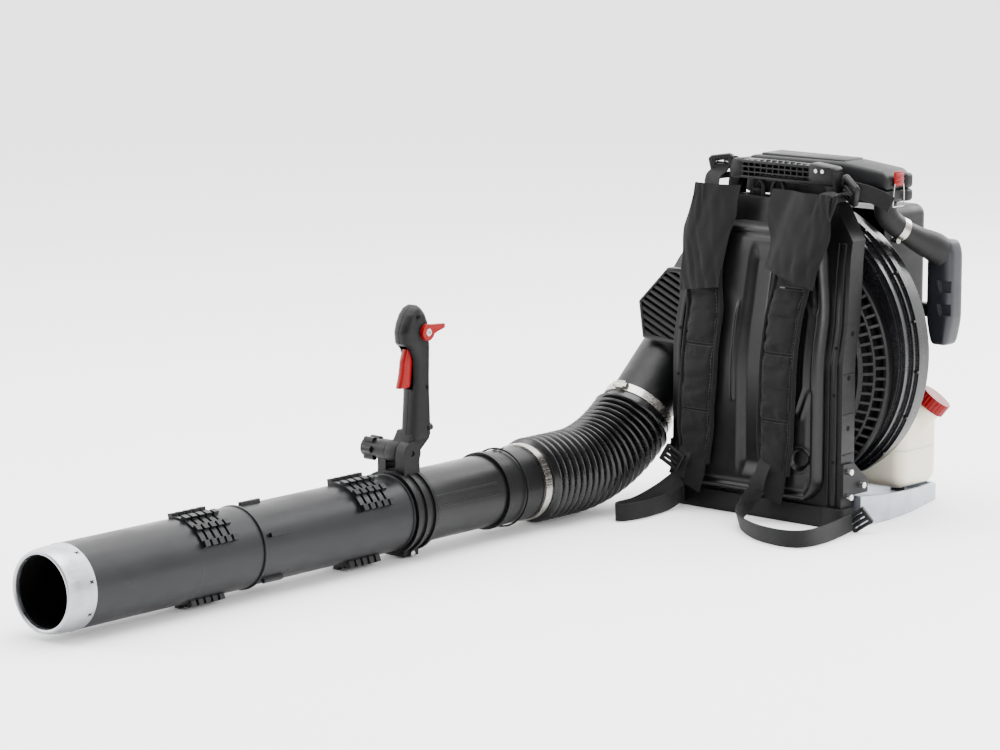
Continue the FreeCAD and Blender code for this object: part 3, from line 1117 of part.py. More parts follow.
def air_cleaner():
    """The air cleaner case, its lid, the element between them and the latch bail."""
    outer = prism("BoxOuter", "XZ", box_outline("0"), "box_front", "box_rear")
    inner = prism("BoxInner", "XZ", box_outline("box_wall"), "box_front + box_wall", "box_rear - box_wall")
    shell = cut("BoxShell", outer, inner)
    reach = ("box_right + 5", "box_rear + 5")
    low = box("BoxLowHalf", ("box_left - 5", "box_front - 5", "box_low - 5"), (*reach, "box_split"))
    high = box("BoxHighHalf", ("box_left - 5", "box_front - 5", "box_split + part_gap"), (*reach, "box_top + 5"))
    case = common("BoxCase", shell, low)
    spigot = cylinder("DuctSpigotHole", "Z", ("duct_x", "duct_y", "box_low - 1"), "duct_radius - 4", "6")
    axis_x = "box_left - hinge_radius - part_gap"
    middle_y = "(box_front + box_rear) / 2"
    pin = cylinder("LidHingePin", "Y", (axis_x, f"{middle_y} - 1.5 * hinge_length - part_gap", "box_split"),
                   "hinge_pin", "3 * hinge_length + 2 * part_gap")
    knuckle = cylinder("CaseKnuckle", "Y", (axis_x, f"{middle_y} - hinge_length / 2", "box_split"),
                       "hinge_radius", "hinge_length")
    root = box("CaseKnuckleRoot", (axis_x, f"{middle_y} - hinge_length / 2", "box_split - hinge_radius"),
               ("box_left + box_wall / 2", f"{middle_y} + hinge_length / 2", "box_split - part_gap"))
    keep("air_cleaner_case", cut("AirCleanerCase", fuse("CaseSolid", case, pin, knuckle, root), spigot))
    lid_pieces = [common("LidShell", shell, high)]
    for name, start in (("Front", f"{middle_y} - 1.5 * hinge_length - part_gap"),
                        ("Rear", f"{middle_y} + hinge_length / 2 + part_gap")):
        barrel = cylinder("LidKnuckle" + name, "Y", (axis_x, start, "box_split"), "hinge_radius", "hinge_length")
        arm = box("LidKnuckleArm" + name, (axis_x, start, "box_split + part_gap"),
                  ("box_left + box_wall / 2", f"{start} + hinge_length", "box_split + hinge_radius"))
        lid_pieces += [barrel, arm]
    pin_room = cylinder("LidPinRoom", "Y", (axis_x, f"{middle_y} - 2 * hinge_length", "box_split"),
                        "hinge_pin + stud_gap", "4 * hinge_length")
    keep("air_cleaner_lid", cut("AirCleanerLid", fuse("LidSolid", *lid_pieces), pin_room))
    margin = "(box_wall + filter_margin)"
    keep("air_filter", box("AirFilter", (f"box_left + {margin}", f"box_front + {margin}", "box_low + box_wall"),
                           ("duct_x - duct_radius - 4", f"box_rear - {margin}", "filter_top")))
    side = "box_right + part_gap"
    tab = box("LatchTab", (side, "latch_y - latch_width / 2", "box_split + latch_low"),
              (f"{side} + 5", "latch_y + latch_width / 2", "box_split + latch_high"))
    wires = [box(f"BailWire{name}", (side, f"latch_y {sign} (latch_width / 2 + 2) - bail_wire", "box_low - 6"),
                 (f"{side} + 2 * bail_wire", f"latch_y {sign} (latch_width / 2 + 2) + bail_wire", "box_split + 10"))
             for name, sign in (("Front", "-"), ("Rear", "+"))]
    bow = box("BailBow", (side, "latch_y - latch_width / 2 - 2", "box_low - 6"),
              (f"{side} + 2 * bail_wire", "latch_y + latch_width / 2 + 2", "box_low - 3"))
    bar = box("BailBar", (side, "latch_y - latch_width / 2 - 2", "box_split + 6"),
              (f"{side} + 2 * bail_wire", "latch_y + latch_width / 2 + 2", "box_split + 9"))
    keep("latch_bail", fuse("LatchBail", tab, bow, bar, *wires))


def pod_block():
    """The pod's rounded block."""
    half = FreeCAD.Vector(size("pod_half_x"), size("pod_half_y"), 0)
    centre = FreeCAD.Vector(size("pod_x"), size("pod_y"), size("pod_low"))
    block = Part.makeBox(2 * half.x, 2 * half.y, size("pod_high - pod_low"), centre - half)
    return block.makeFillet(size("pod_edge"), block.Edges)


def intake_duct():
    """The rubber duct from the air cleaner down into the pod, with its clamp."""
    top = FreeCAD.Vector(size("duct_x"), size("duct_y"), size("box_low") - 0.2)
    knee = FreeCAD.Vector(size("duct_x"), size("duct_y"), size("duct_knee"))
    foot = FreeCAD.Vector(size("pod_x"), size("pod_y"), size("pod_high") - 20)
    down = FreeCAD.Vector(0, 0, -1)
    away = (foot - knee).normalize()
    turned = down.getAngle(away)
    tangent = size("duct_bend") * math.tan(turned / 2)
    bend_start = knee - down * tangent
    bend_end = knee + away * tangent
    inward = (away - down * away.dot(down)).normalize()
    centre = bend_start + inward * size("duct_bend")
    middle = centre - (inward * math.cos(turned / 2) - down * math.sin(turned / 2)) * size("duct_bend")
    path = Part.Wire([Part.LineSegment(top, bend_start).toShape(), Part.Arc(bend_start, middle, bend_end).toShape(),
                      Part.LineSegment(bend_end, foot).toShape()])
    radius = size("duct_radius")
    outer = swept(path, radius)
    inner = swept(path, radius - size("duct_wall"))
    keep("intake_duct", shaped("IntakeDuct", outer.cut(inner).cut(pod_block())))
    across = away.cross(down).normalize()
    over = across.cross(away).normalize()
    start = bend_end + away * size("clamp_run")
    band = Part.makeCylinder(radius + size("clamp_thick"), size("clamp_width"), start, away)
    hole = Part.makeCylinder(radius, size("clamp_width") + 2, start - away, away)
    head = start + away * (size("clamp_width") / 2) + over * (radius + 2) - across * 8
    screw = Part.makeCylinder(size("screw_radius"), 16, head, across)
    keep("duct_clamp", shaped("DuctClamp", band.fuse(screw).cut(hole)))


def intake_pod():
    """The ribbed pod that the duct feeds, beside the engine."""
    stay = Part.makeBox(size("pod_x - pod_half_x + 4 - cover_half - 1"), 20, 20,
                        FreeCAD.Vector(size("cover_half + 1"), size("pod_y - 10"), size("pod_low + 40")))
    keep("intake_pod", shaped("IntakePod", pod_block().fuse(stay).removeSplitter()))


def neck_axis():
    """Foot and direction of the tilted filler neck."""
    tilt = math.radians(size("filler_tilt"))
    foot = FreeCAD.Vector(size("filler_x"), size("filler_y"), size("filler_z"))
    return foot, FreeCAD.Vector(math.sin(tilt) * 0.9, math.sin(tilt) * 0.44, math.cos(tilt)).normalize()


def fuel_tank():
    """The translucent tank with its tilted filler neck."""
    low = FreeCAD.Vector(size("tank_left"), size("tank_front"), size("tank_low"))
    extent = (size("tank_right - (tank_left)"), size("tank_rear - tank_front"), size("tank_high - tank_low"))
    outer = Part.makeBox(*extent, low)
    outer = outer.makeFillet(size("tank_edge"), outer.Edges)
    wall = size("tank_wall")
    room = Part.makeBox(*(side - 2 * wall for side in extent), low + FreeCAD.Vector(wall, wall, wall))
    room = room.makeFillet(size("tank_edge") - wall, room.Edges)
    foot, aim = neck_axis()
    neck = Part.makeCylinder(size("filler_radius"), size("filler_length"), foot - aim * 14, aim)
    neck_room = Part.makeCylinder(size("filler_radius") - wall, size("filler_length") + 2, foot - aim * 15, aim)
    keep("fuel_tank", shaped("FuelTank", outer.fuse(neck).cut(room).cut(neck_room).removeSplitter()))


def fuel_cap():
    """The knurled fuel cap over the neck."""
    foot, aim = neck_axis()
    top = foot + aim * (size("filler_length") - 14 + size("cap_gap"))
    height = size("fuel_cap_height")
    cap = Part.makeCylinder(size("fuel_cap_radius"), height, top - aim * (height - 5), aim)
    room = Part.makeCylinder(size("filler_radius + cap_gap"), height - 5, top - aim * (height - 5), aim)
    side = aim.cross(FreeCAD.Vector(0, 0, 1)).normalize()
    other = aim.cross(side)
    notches = []
    count = DIMENSIONS["knurl_count"]
    for index in range(count):
        angle = 2 * math.pi * index / count
        spot = (side * math.cos(angle) + other * math.sin(angle)) * (size("fuel_cap_radius") + 0.8)
        notches.append(Part.makeCylinder(1.8, height, top - aim * (height - 5) + spot, aim))
    keep("fuel_cap", shaped("FuelCap", cap.cut(room).cut(Part.makeCompound(notches))))


def strap_pads():
    """The two padded shoulder straps hanging in front of the pad."""
    front = "-pad_thickness - strap_gap - strap_thickness"
    rear = "-pad_thickness - strap_gap"
    layer = leaning_band("StrapBand", front, rear)
    for node, low_x, top_x in (("strap_pad_right", "strap_right_x", "strap_right_top_x"),
                               ("strap_pad_left", "strap_left_x", "strap_left_top_x")):
        half = "strap_width / 2"
        outline = [(f"{low_x} - {half} + 12", "strap_low"), (f"{low_x} + {half} - 12", "strap_low"),
                   (f"{low_x} + {half}", "strap_low + 20"), (f"{low_x} + {half}", "frame_side_z"),
                   (f"{top_x} + {half} - 4", "strap_top"), (f"{top_x} - {half} + 4", "strap_top"),
                   (f"{low_x} - {half}", "frame_side_z"), (f"{low_x} - {half}", "strap_low + 20")]
        face = prism("Outline_" + node, "XZ", outline, "-90", "160")
        keep(node, common("Strap_" + node, face, layer))


def webbing(node, points):
    """A flat strap standing on its edge, from one point of its lower edge to the next."""
    half = size("web_thickness") / 2
    rise = FreeCAD.Vector(0, 0, size("web_width"))
    places = [FreeCAD.Vector(*point) for point in points]
    runs = [Part.makeCylinder(half, rise.z, place) for place in places]
    for start, end in zip(places, places[1:]):
        run = end - start
        side = FreeCAD.Vector(-run.y, run.x, 0).normalize() * half
        face = Part.Face(Part.makePolygon([start - side, end - side, end - side + rise, start - side + rise,
                                           start - side]))
        runs.append(face.extrude(side * 2))
    keep(node, shaped("Web_" + node, runs[0].multiFuse(runs[1:])))


def lower_webbing():
    """The two adjusting straps that lie in loops on the floor in front of the frame."""
    webbing("webbing_right", [(-118, -38, 38), (-140, -72, 20), (-156, -118, 4), (-161, -158, 0.5),
                              (-148, -174, 0.5), (-131, -160, 0.5), (-127, -110, 0.5), (-134, -54, 1),
                              (-140, -7, 4)])
    webbing("webbing_left", [(30, -31, 40), (12, -36, 12), (22, -64, 0.5), (58, -104, 0.5),
                             (112, -140, 0.5), (164, -154, 0.5), (196, -138, 0.5), (200, -96, 0.5),
                             (190, -46, 0.5), (178, -4, 2)])


def buckle(name, corner):
    """A square-ring buckle that faces along Y."""
    high = [f"{corner[0]} + buckle_width", f"{corner[1]} + buckle_thickness", f"{corner[2]} + buckle_height"]
    ring = box(name, corner, high)
    hole = box(name + "Hole", (f"{corner[0]} + 5", f"{corner[1]} - 1", f"{corner[2]} + 7"),
               (f"{high[0]} - 5", f"{high[1]} + 1", f"{high[2]} - 7"))
    return cut(name + "Ring", ring, hole)


def buckles():
    """Two buckles beside the handle and two ladder locks on the lower straps."""
    keep("strap_buckles", group("StrapBuckles",
                                buckle("UpperRight", ("-handle_half - 3 - buckle_width", "lean_top_y - 14",
                                                      "handle_low - 8")),
                                buckle("UpperLeft", ("handle_half + 10", "lean_top_y - 14", "handle_low - 26")),
                                buckle("LowerRight", ("-140", "-50", "67")),
                                buckle("LowerLeft", ("base_half + 3", "-2", "6"))))


def build():
    """Make every sub-part, check it and write it out."""
    fill_sheet()
    makers = (wear_ring, blower_pipes, swivel_collar, flexible_hose, hose_clamps, outlet_elbow, handle_clamp,
              clamp_screw, pivot_knob, grip_shells, throttle_trigger, cruise_lever, cable_gland, back_frame,
              back_pad, carry_handle, frame_hardware, base_frame, vibration_mounts, fan_housings, intake_guard,
              outlet_guard, fan_impeller, crankshaft, crankcase, engine_cylinder, piston, spark_plug, muffler,
              carburettor, engine_cover, recoil_starter, choke_and_primer, air_cleaner, intake_duct, intake_pod,
              fuel_tank, fuel_cap, strap_pads, lower_webbing, buckles)
    for maker in makers:
        maker()
    DOC.recompute()
    faults = [(piece.Name, piece.State) for piece in DOC.Objects
              if "Invalid" in piece.State or "Error" in piece.State]
    for node, piece in EXPORTS:
        if piece.Shape.isNull() or not piece.Shape.isValid() or not piece.Shape.Solids:
            faults.append((node, "shape"))
    if faults:
        raise RuntimeError(f"faulty objects: {faults}")
    os.makedirs("parts", exist_ok=True)
    for node, piece in EXPORTS:
        piece.Shape.exportStep(f"parts/{node}.step")
        print(f"{node}: {len(piece.Shape.Solids)} solids, {piece.Shape.Volume / 1000:.1f} cm3")
    print(len(EXPORTS), "nodes")


build()
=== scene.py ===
"""Looks of a petrol backpack leaf blower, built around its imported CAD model. Metres, +Z up, wearer at -Y."""

import bmesh
import bpy
import json
import math
from mathutils import Matrix, Vector, noise
from mathutils.bvhtree import BVHTree


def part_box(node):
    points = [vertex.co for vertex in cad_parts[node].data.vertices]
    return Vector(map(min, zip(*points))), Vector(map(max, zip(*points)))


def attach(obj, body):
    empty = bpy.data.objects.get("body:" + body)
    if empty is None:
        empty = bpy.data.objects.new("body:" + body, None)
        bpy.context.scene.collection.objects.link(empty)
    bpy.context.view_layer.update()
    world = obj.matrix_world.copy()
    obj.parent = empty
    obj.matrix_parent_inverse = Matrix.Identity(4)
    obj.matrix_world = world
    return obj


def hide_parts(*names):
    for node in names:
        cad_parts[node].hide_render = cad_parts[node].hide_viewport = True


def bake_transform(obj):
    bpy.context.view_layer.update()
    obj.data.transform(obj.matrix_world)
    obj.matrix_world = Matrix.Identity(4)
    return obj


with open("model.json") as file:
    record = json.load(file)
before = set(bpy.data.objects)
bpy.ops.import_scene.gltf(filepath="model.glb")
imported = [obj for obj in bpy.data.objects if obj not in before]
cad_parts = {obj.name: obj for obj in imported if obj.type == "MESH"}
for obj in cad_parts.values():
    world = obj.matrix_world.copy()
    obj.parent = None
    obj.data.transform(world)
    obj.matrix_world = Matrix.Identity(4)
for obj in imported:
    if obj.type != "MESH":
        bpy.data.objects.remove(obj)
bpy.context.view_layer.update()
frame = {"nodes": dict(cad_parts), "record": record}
NODES = frame["nodes"]
SCENE = bpy.context.scene
MM = 0.001


def mm(x, y, z):
    """A point given in millimetres."""
    return Vector((x, y, z)) * MM


def middle(node):
    """The middle of a CAD node's box."""
    low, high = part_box(node)
    return (low + high) / 2


# ---------------------------------------------------------------- camera, light and floor

CAMERA_AZIMUTH = math.radians(41)
CAMERA_ELEVATION = math.radians(9.9)
CAMERA_DISTANCE = 5.856
CAMERA_SHIFT_RIGHT = -0.3825
CAMERA_SHIFT_UP = 0.2107
CAMERA_LENS = 140.4


def add_camera():
    """The camera, looking along -back, with its aim moved sideways and up from the origin."""
    right = Vector((math.cos(CAMERA_AZIMUTH), math.sin(CAMERA_AZIMUTH), 0))
    back = Vector((math.sin(CAMERA_AZIMUTH) * math.cos(CAMERA_ELEVATION),
                   -math.cos(CAMERA_AZIMUTH) * math.cos(CAMERA_ELEVATION), math.sin(CAMERA_ELEVATION)))
    up = back.cross(right)
    camera = bpy.data.objects.new("camera", bpy.data.cameras.new("camera"))
    SCENE.collection.objects.link(camera)
    camera.data.lens = CAMERA_LENS
    camera.data.sensor_width = 36
    camera.data.clip_end = 60
    camera.location = right * CAMERA_SHIFT_RIGHT + up * CAMERA_SHIFT_UP + back * CAMERA_DISTANCE
    camera.rotation_mode = "QUATERNION"
    camera.rotation_quaternion = Matrix((right, up, back)).transposed().to_quaternion()
    SCENE.camera = camera


def add_light(name, place, aim, width, height, power):
    """A soft box: a rectangular area light that faces aim."""
    light = bpy.data.lights.new(name, "AREA")
    light.shape = "RECTANGLE"
    light.size = width
    light.size_y = height
    light.energy = power
    holder = bpy.data.objects.new(name, light)
    SCENE.collection.objects.link(holder)
    holder.location = place
    holder.rotation_mode = "QUATERNION"
    holder.rotation_quaternion = (Vector(aim) - Vector(place)).to_track_quat("-Z", "Y")


def add_stage():
    """A pale floor and soft studio light."""
    size = 14.0
    mesh = bpy.data.meshes.new("floor")
    mesh.from_pydata([(-size, -size, -0.0005), (size, -size, -0.0005), (size, size, -0.0005),
                      (-size, size, -0.0005)], [], [(0, 1, 2, 3)])
    floor = bpy.data.objects.new("floor", mesh)
    SCENE.collection.objects.link(floor)
    graph = Graph("floor_white")
    graph.shade(colour=(0.95, 0.95, 0.95), rough=0.7)
    mesh.materials.append(graph.material)
    world = bpy.data.worlds.new("studio")
    SCENE.world = world
    world.use_nodes = True
    tree = world.node_tree
    place = tree.nodes.new("ShaderNodeTexCoord")
    towards = tree.nodes.new("ShaderNodeVectorMath")
    towards.operation = "DOT_PRODUCT"
    towards.inputs[1].default_value = (-0.62, 0.72, 0.30)
    tree.links.new(place.outputs["Generated"], towards.inputs[0])
    spread = tree.nodes.new("ShaderNodeMapRange")
    spread.interpolation_type = "SMOOTHSTEP"
    for key, number in (("From Min", -0.5), ("From Max", 0.55), ("To Min", 0.42), ("To Max", 4.2)):
        spread.inputs[key].default_value = number
    tree.links.new(towards.outputs["Value"], spread.inputs["Value"])
    background = tree.nodes["Background"]
    background.inputs["Color"].default_value = (1, 1, 1, 1)
    tree.links.new(spread.outputs["Result"], background.inputs["Strength"])
    add_light("top_box", (-0.2, -0.4, 3.0), (-0.1, -0.3, 0.2), 2.6, 2.2, 165)
    add_light("left_box", (-2.6, -2.2, 1.3), (-0.2, -0.4, 0.2), 0.8, 2.2, 50)
    add_light("right_box", (2.6, -1.0, 1.4), (0.0, 0.0, 0.25), 0.7, 2.2, 70)
    add_light("back_box", (0.4, 2.8, 1.8), (0, 0.1, 0.3), 1.8, 1.4, 110)


# ---------------------------------------------------------------- materials

class Graph:
    """A material's node tree, with short calls for the nodes used here."""

    def __init__(self, name):
        self.material = bpy.data.materials.new(name)
        self.material.use_nodes = True
        self.tree = self.material.node_tree
        self.shader = self.tree.nodes["Principled BSDF"]
        self.place = self.node("ShaderNodeTexCoord").outputs["Object"]

    def node(self, kind, **values):
        """A new node whose own settings and inputs take the values given."""
        made = self.tree.nodes.new(kind)
        for key, value in values.items():
            if hasattr(made, key):
                setattr(made, key, value)
            else:
                self.feed(made.inputs[key.replace("_", " ").title()], value)
        return made

    def feed(self, socket, value):
        """Links a socket to another, or sets its value."""
        if isinstance(value, bpy.types.NodeSocket):
            self.tree.links.new(value, socket)
        else:
            socket.default_value = value

    def stretched(self, scale):
        """The object's coordinates, scaled along each axis."""
        mapping = self.node("ShaderNodeMapping")
        self.feed(mapping.inputs["Vector"], self.place)
        mapping.inputs["Scale"].default_value = scale
        return mapping.outputs["Vector"]

    def noise(self, scale, detail=4.0, vector=None):
        """Noise from 0 to 1."""
        made = self.node("ShaderNodeTexNoise", Scale=scale, Detail=detail)
        self.feed(made.inputs["Vector"], self.place if vector is None else vector)
        return made.outputs["Fac"]

    def span(self, value, low, high, start=0.35, end=0.65):
        """A value from start to end spread over low to high."""
        made = self.node("ShaderNodeMapRange")
        for key, number in (("From Min", start), ("From Max", end), ("To Min", low), ("To Max", high)):
            made.inputs[key].default_value = number
        self.feed(made.inputs["Value"], value)
        return made.outputs["Result"]

    def blend(self, factor, first, second):
        """The colour between first and second."""
        made = self.node("ShaderNodeMix", data_type="RGBA")
        colours = [socket for socket in made.inputs if socket.type == "RGBA"]
        self.feed(made.inputs[0], factor)
        for socket, value in zip(colours, (first, second)):
            self.feed(socket, value if isinstance(value, bpy.types.NodeSocket) else (*value, 1))
        return [socket for socket in made.outputs if socket.type == "RGBA"][0]

    def maths(self, operation, first, second=0.0):
        """One sum of two values."""
        made = self.node("ShaderNodeMath", operation=operation)
        self.feed(made.inputs[0], first)
        self.feed(made.inputs[1], second)
        return made.outputs[0]

    def shade(self, colour, rough, metal=0.0, height=None, depth=0.0002, soft_edge=0.0, **extra):
        """Feeds the shader. height is a bump of that depth, and soft_edge rounds hard edges by that radius."""
        inputs = self.shader.inputs
        self.feed(inputs["Base Color"], colour if isinstance(colour, bpy.types.NodeSocket) else (*colour, 1))
        self.feed(inputs["Roughness"], rough)
        inputs["Metallic"].default_value = metal
        for key, value in extra.items():
            inputs[key.replace("_", " ").title().replace("Ior", "IOR")].default_value = value
        normal = None
        if soft_edge:
            made = self.node("ShaderNodeBevel", samples=4)
            made.inputs["Radius"].default_value = soft_edge
            normal = made.outputs["Normal"]
        if height is not None:
            bump = self.node("ShaderNodeBump")
            bump.inputs["Distance"].default_value = depth
            bump.inputs["Strength"].default_value = 1.0
            self.feed(bump.inputs["Height"], height)
            if normal is not None:
                self.feed(bump.inputs["Normal"], normal)
            normal = bump.outputs["Normal"]
        if normal is not None:
            self.feed(inputs["Normal"], normal)
        return self.material


def plastic(name, dark, light, rough, grain=1400.0, depth=0.00012, soft_edge=0.0008, spread=0.07, **extra):
    """Moulded plastic or rubber: cloudy colour, uneven gloss and the fine grain of the mould."""
    graph = Graph(name)
    cloud = graph.noise(14.0, 5.0)
    speck = graph.noise(grain, 2.0)
    scuff = graph.noise(130.0, 6.0, graph.stretched((1, 0.25, 1)))
    colour = graph.blend(graph.span(cloud, 0, 1), dark, light)
    gloss = graph.maths("ADD", graph.span(cloud, rough - spread, rough + spread), graph.span(scuff, -0.03, 0.03))
    height = graph.maths("ADD", speck, graph.maths("MULTIPLY", scuff, 0.5))
    graph.shade(colour, gloss, height=height, depth=depth, soft_edge=soft_edge, **extra)
    return graph.material


def metal(name, dark, light, rough, brushed=(1, 1, 1), grain=500.0, depth=0.00008, metallic=0.95, soft_edge=0.0005):
    """Metal with a brushed or cast surface."""
    graph = Graph(name)
    cloud = graph.noise(25.0, 6.0)
    brush = graph.noise(grain, 4.0, graph.stretched(brushed))
    colour = graph.blend(graph.span(cloud, 0, 1), dark, light)
    gloss = graph.maths("ADD", graph.span(cloud, rough - 0.06, rough + 0.06), graph.span(brush, -0.08, 0.08))
    graph.shade(colour, gloss, metal=metallic, height=brush, depth=depth, soft_edge=soft_edge)
    return graph.material


def woven(name, dark, light, pitch, depth, rough=0.85, sheen=0.25, use_map=False, **extra):
    """Cloth of crossing threads, pitch apart, on the object's own coordinates or on its flat map."""
    graph = Graph(name)
    if use_map:
        graph.place = graph.node("ShaderNodeTexCoord").outputs["UV"]
        axes = ("X", "Y")
    else:
        axes = ("X", "Z")
    threads = []
    for axis in axes:
        wave = graph.node("ShaderNodeTexWave", wave_type="BANDS", bands_direction=axis, wave_profile="SIN")
        graph.feed(wave.inputs["Vector"], graph.place)
        wave.inputs["Scale"].default_value = math.pi / (10 * pitch)
        wave.inputs["Distortion"].default_value = 0.6
        wave.inputs["Detail"].default_value = 2.0
        wave.inputs["Detail Scale"].default_value = 1.5
        threads.append(wave.outputs["Fac"])
    weave = graph.maths("MAXIMUM", threads[0], threads[1])
    fuzz = graph.noise(2200.0, 3.0)
    cloud = graph.noise(18.0, 5.0)
    # The colour mixes random cloudy tone with painted shade: the gaps between the threads are drawn darker than
    # their crowns.
    shade = graph.maths("MULTIPLY", graph.span(cloud, 0.55, 1.0), graph.span(weave, 0.45, 1.0, 0.3, 1.0))
    colour = graph.blend(shade, dark, light)
    height = graph.maths("ADD", weave, graph.maths("MULTIPLY", fuzz, 0.4))
    graph.shade(colour, graph.span(cloud, rough - 0.08, rough + 0.05), height=height, depth=depth,
                sheen_weight=sheen, sheen_roughness=0.5, **extra)
    return graph.material


def translucent(name, dark, light):
    """Milky fuel tank plastic, a little cloudy, with light passing into it."""
    graph = Graph(name)
    cloud = graph.noise(9.0, 4.0)
    colour = graph.blend(graph.span(cloud, 0, 1), dark, light)
    graph.shade(colour, graph.span(cloud, 0.32, 0.42), height=graph.noise(700.0, 2.0), depth=0.00008,
                soft_edge=0.003, subsurface_weight=0.35, subsurface_scale=0.02)
    return graph.material


def foam_element(name):
    """The pleated, dusty yellow filter element, its colour darkened into each pleat's valley as painted shade."""
    graph = Graph(name)
    wave = graph.node("ShaderNodeTexWave", wave_type="BANDS", bands_direction="X")
    graph.feed(wave.inputs["Vector"], graph.place)
    wave.inputs["Scale"].default_value = 60.0
    colour = graph.blend(graph.span(wave.outputs["Fac"], 0, 1, 0, 1), (0.35, 0.27, 0.12), (0.72, 0.62, 0.4))
    graph.shade(colour, 0.9, height=wave.outputs["Fac"], depth=0.002)
    return graph.material


def all_materials():
    """Every material, by the record's material slot or by its own name."""
    return {
        "tube_charcoal": plastic("tube_charcoal", (0.0026, 0.0028, 0.0037), (0.004, 0.0043, 0.0055), 0.36,
                                 depth=0.00003, specular_ior_level=0.24),
        "tube_black": plastic("tube_black", (0.002, 0.002, 0.0024), (0.0034, 0.0034, 0.0038), 0.34,
                              depth=0.00003, specular_ior_level=0.24),
        "black_plastic": plastic("black_plastic", (0.0016, 0.0016, 0.0019), (0.0028, 0.0028, 0.0032), 0.42,
                                 specular_ior_level=0.2),
        "gloss_black": plastic("gloss_black", (0.003, 0.003, 0.0036), (0.005, 0.005, 0.006), 0.26, depth=0.00003,
                               spread=0.04, specular_ior_level=0.42),
        "wear_alloy": metal("wear_alloy", (0.32, 0.33, 0.35), (0.44, 0.45, 0.47), 0.38, brushed=(1, 0.05, 1)),
        "base_alloy": metal("base_alloy", (0.34, 0.36, 0.40), (0.46, 0.48, 0.53), 0.46, grain=260.0,
                            depth=0.00025, metallic=0.8, soft_edge=0.0015),
        "steel": metal("steel", (0.30, 0.285, 0.26), (0.44, 0.42, 0.385), 0.24, brushed=(1, 0.06, 1)),
        "zinc_screw": metal("zinc_screw", (0.4, 0.4, 0.4), (0.6, 0.6, 0.58), 0.25),
        "red_plastic": plastic("red_plastic", (0.17, 0.0002, 0.0008), (0.22, 0.0004, 0.0012), 0.36,
                               depth=0.00005, specular_ior_level=0.2),
        "grip_charcoal": plastic("grip_charcoal", (0.0027, 0.0027, 0.0029), (0.0044, 0.0044, 0.0047), 0.52,
                                 grain=900.0, depth=0.00012, soft_edge=0.0018, specular_ior_level=0.2),
        "rubber": plastic("rubber", (0.0016, 0.0016, 0.0019), (0.0028, 0.0028, 0.0032), 0.25, depth=0.000015,
                          spread=0.03, specular_ior_level=0.42),
        "mount_rubber": plastic("mount_rubber", (0.003, 0.003, 0.003), (0.006, 0.006, 0.006), 0.55,
                                specular_ior_level=0.25),
        "engine_alloy": metal("engine_alloy", (0.25, 0.25, 0.26), (0.4, 0.4, 0.42), 0.5, grain=300.0,
                              depth=0.0003),
        "machined_steel": metal("machined_steel", (0.36, 0.36, 0.38), (0.5, 0.5, 0.52), 0.28,
                                brushed=(1, 0.05, 1)),
        "fan_plastic": plastic("fan_plastic", (0.006, 0.006, 0.0065), (0.010, 0.010, 0.011), 0.5,
                               specular_ior_level=0.3),
        "box_charcoal": plastic("box_charcoal", (0.0032, 0.0033, 0.0038), (0.0048, 0.005, 0.0056), 0.5,
                                grain=1000.0, depth=0.0001, soft_edge=0.002, specular_ior_level=0.2),
        "pod_grey": plastic("pod_grey", (0.007, 0.0077, 0.011), (0.010, 0.011, 0.015), 0.42, depth=0.00005,
                            soft_edge=0.002, specular_ior_level=0.35),
        "tank_cream": translucent("tank_cream", (0.72, 0.66, 0.52), (0.84, 0.80, 0.68)),
        "filter_element": foam_element("filter_element"),
        "plug_ceramic": plastic("plug_ceramic", (0.72, 0.72, 0.7), (0.85, 0.85, 0.83), 0.2, depth=0.00002),
        "strap_fabric": woven("strap_fabric", (0.0016, 0.0016, 0.0016), (0.0065, 0.0065, 0.0068), 0.0011, 0.0003,
                              sheen=0.04, specular_ior_level=0.12),
        "webbing": woven("webbing", (0.0018, 0.0018, 0.0018), (0.008, 0.008, 0.0085), 0.0014, 0.0004,
                         use_map=True, rough=0.7, sheen=0.04, specular_ior_level=0.18),
        "pad_foam": plastic("pad_foam", (0.002, 0.002, 0.0024), (0.003, 0.003, 0.0034), 0.33, depth=0.00001,
                            spread=0.015, soft_edge=0.0, specular_ior_level=0.27),
        # void_black is painted shade: a dull near-black put on holes, slots, dimples, the mouth's hollow inside and
        # behind the inlet guard, where only shade would be.
        "void_black": plastic("void_black", (0.0008, 0.0008, 0.0008), (0.0015, 0.0015, 0.0015), 0.7,
                              specular_ior_level=0.1),
    }


def paint_frame(materials):
    """Gives every CAD node the material of its slot."""
    for row in frame["record"]["subparts"]:
        mesh = NODES[row["node"]].data
        mesh.materials.clear()
        mesh.materials.append(materials[row["material_slot"]])


# ---------------------------------------------------------------- mesh tools

def new_piece(name, points, faces, slot, body, flat_map=None, sharp=40, replaces=()):
    """A mesh piece in the row frame, with its material slot, its body and the CAD nodes it stands for."""
    mesh = bpy.data.meshes.new(name)
    mesh.from_pydata([tuple(point) for point in points], [], faces)
    mesh.validate()
    mesh.polygons.foreach_set("use_smooth", [True] * len(mesh.polygons))
    mesh.set_sharp_from_angle(angle=math.radians(sharp))
    if flat_map is not None:
        layer = mesh.uv_layers.new(name="flat")
        for loop in mesh.loops:
            layer.data[loop.index].uv = flat_map[loop.vertex_index]
    piece = bpy.data.objects.new(name, mesh)
    SCENE.collection.objects.link(piece)
    mesh.materials.append(MATERIALS[slot])
    if body:
        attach(piece, body)
    if replaces:
        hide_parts(*replaces)
    return piece


def from_bmesh(name, made, slot, body, **rest):
    """A piece from a bmesh, whose faces are first turned outwards."""
    bmesh.ops.recalc_face_normals(made, faces=made.faces)
    made.verts.ensure_lookup_table()
    points = [vertex.co.copy() for vertex in made.verts]
    faces = [tuple(vertex.index for vertex in face.verts) for face in made.faces]
    made.free()
    return new_piece(name, points, faces, slot, body, **rest)


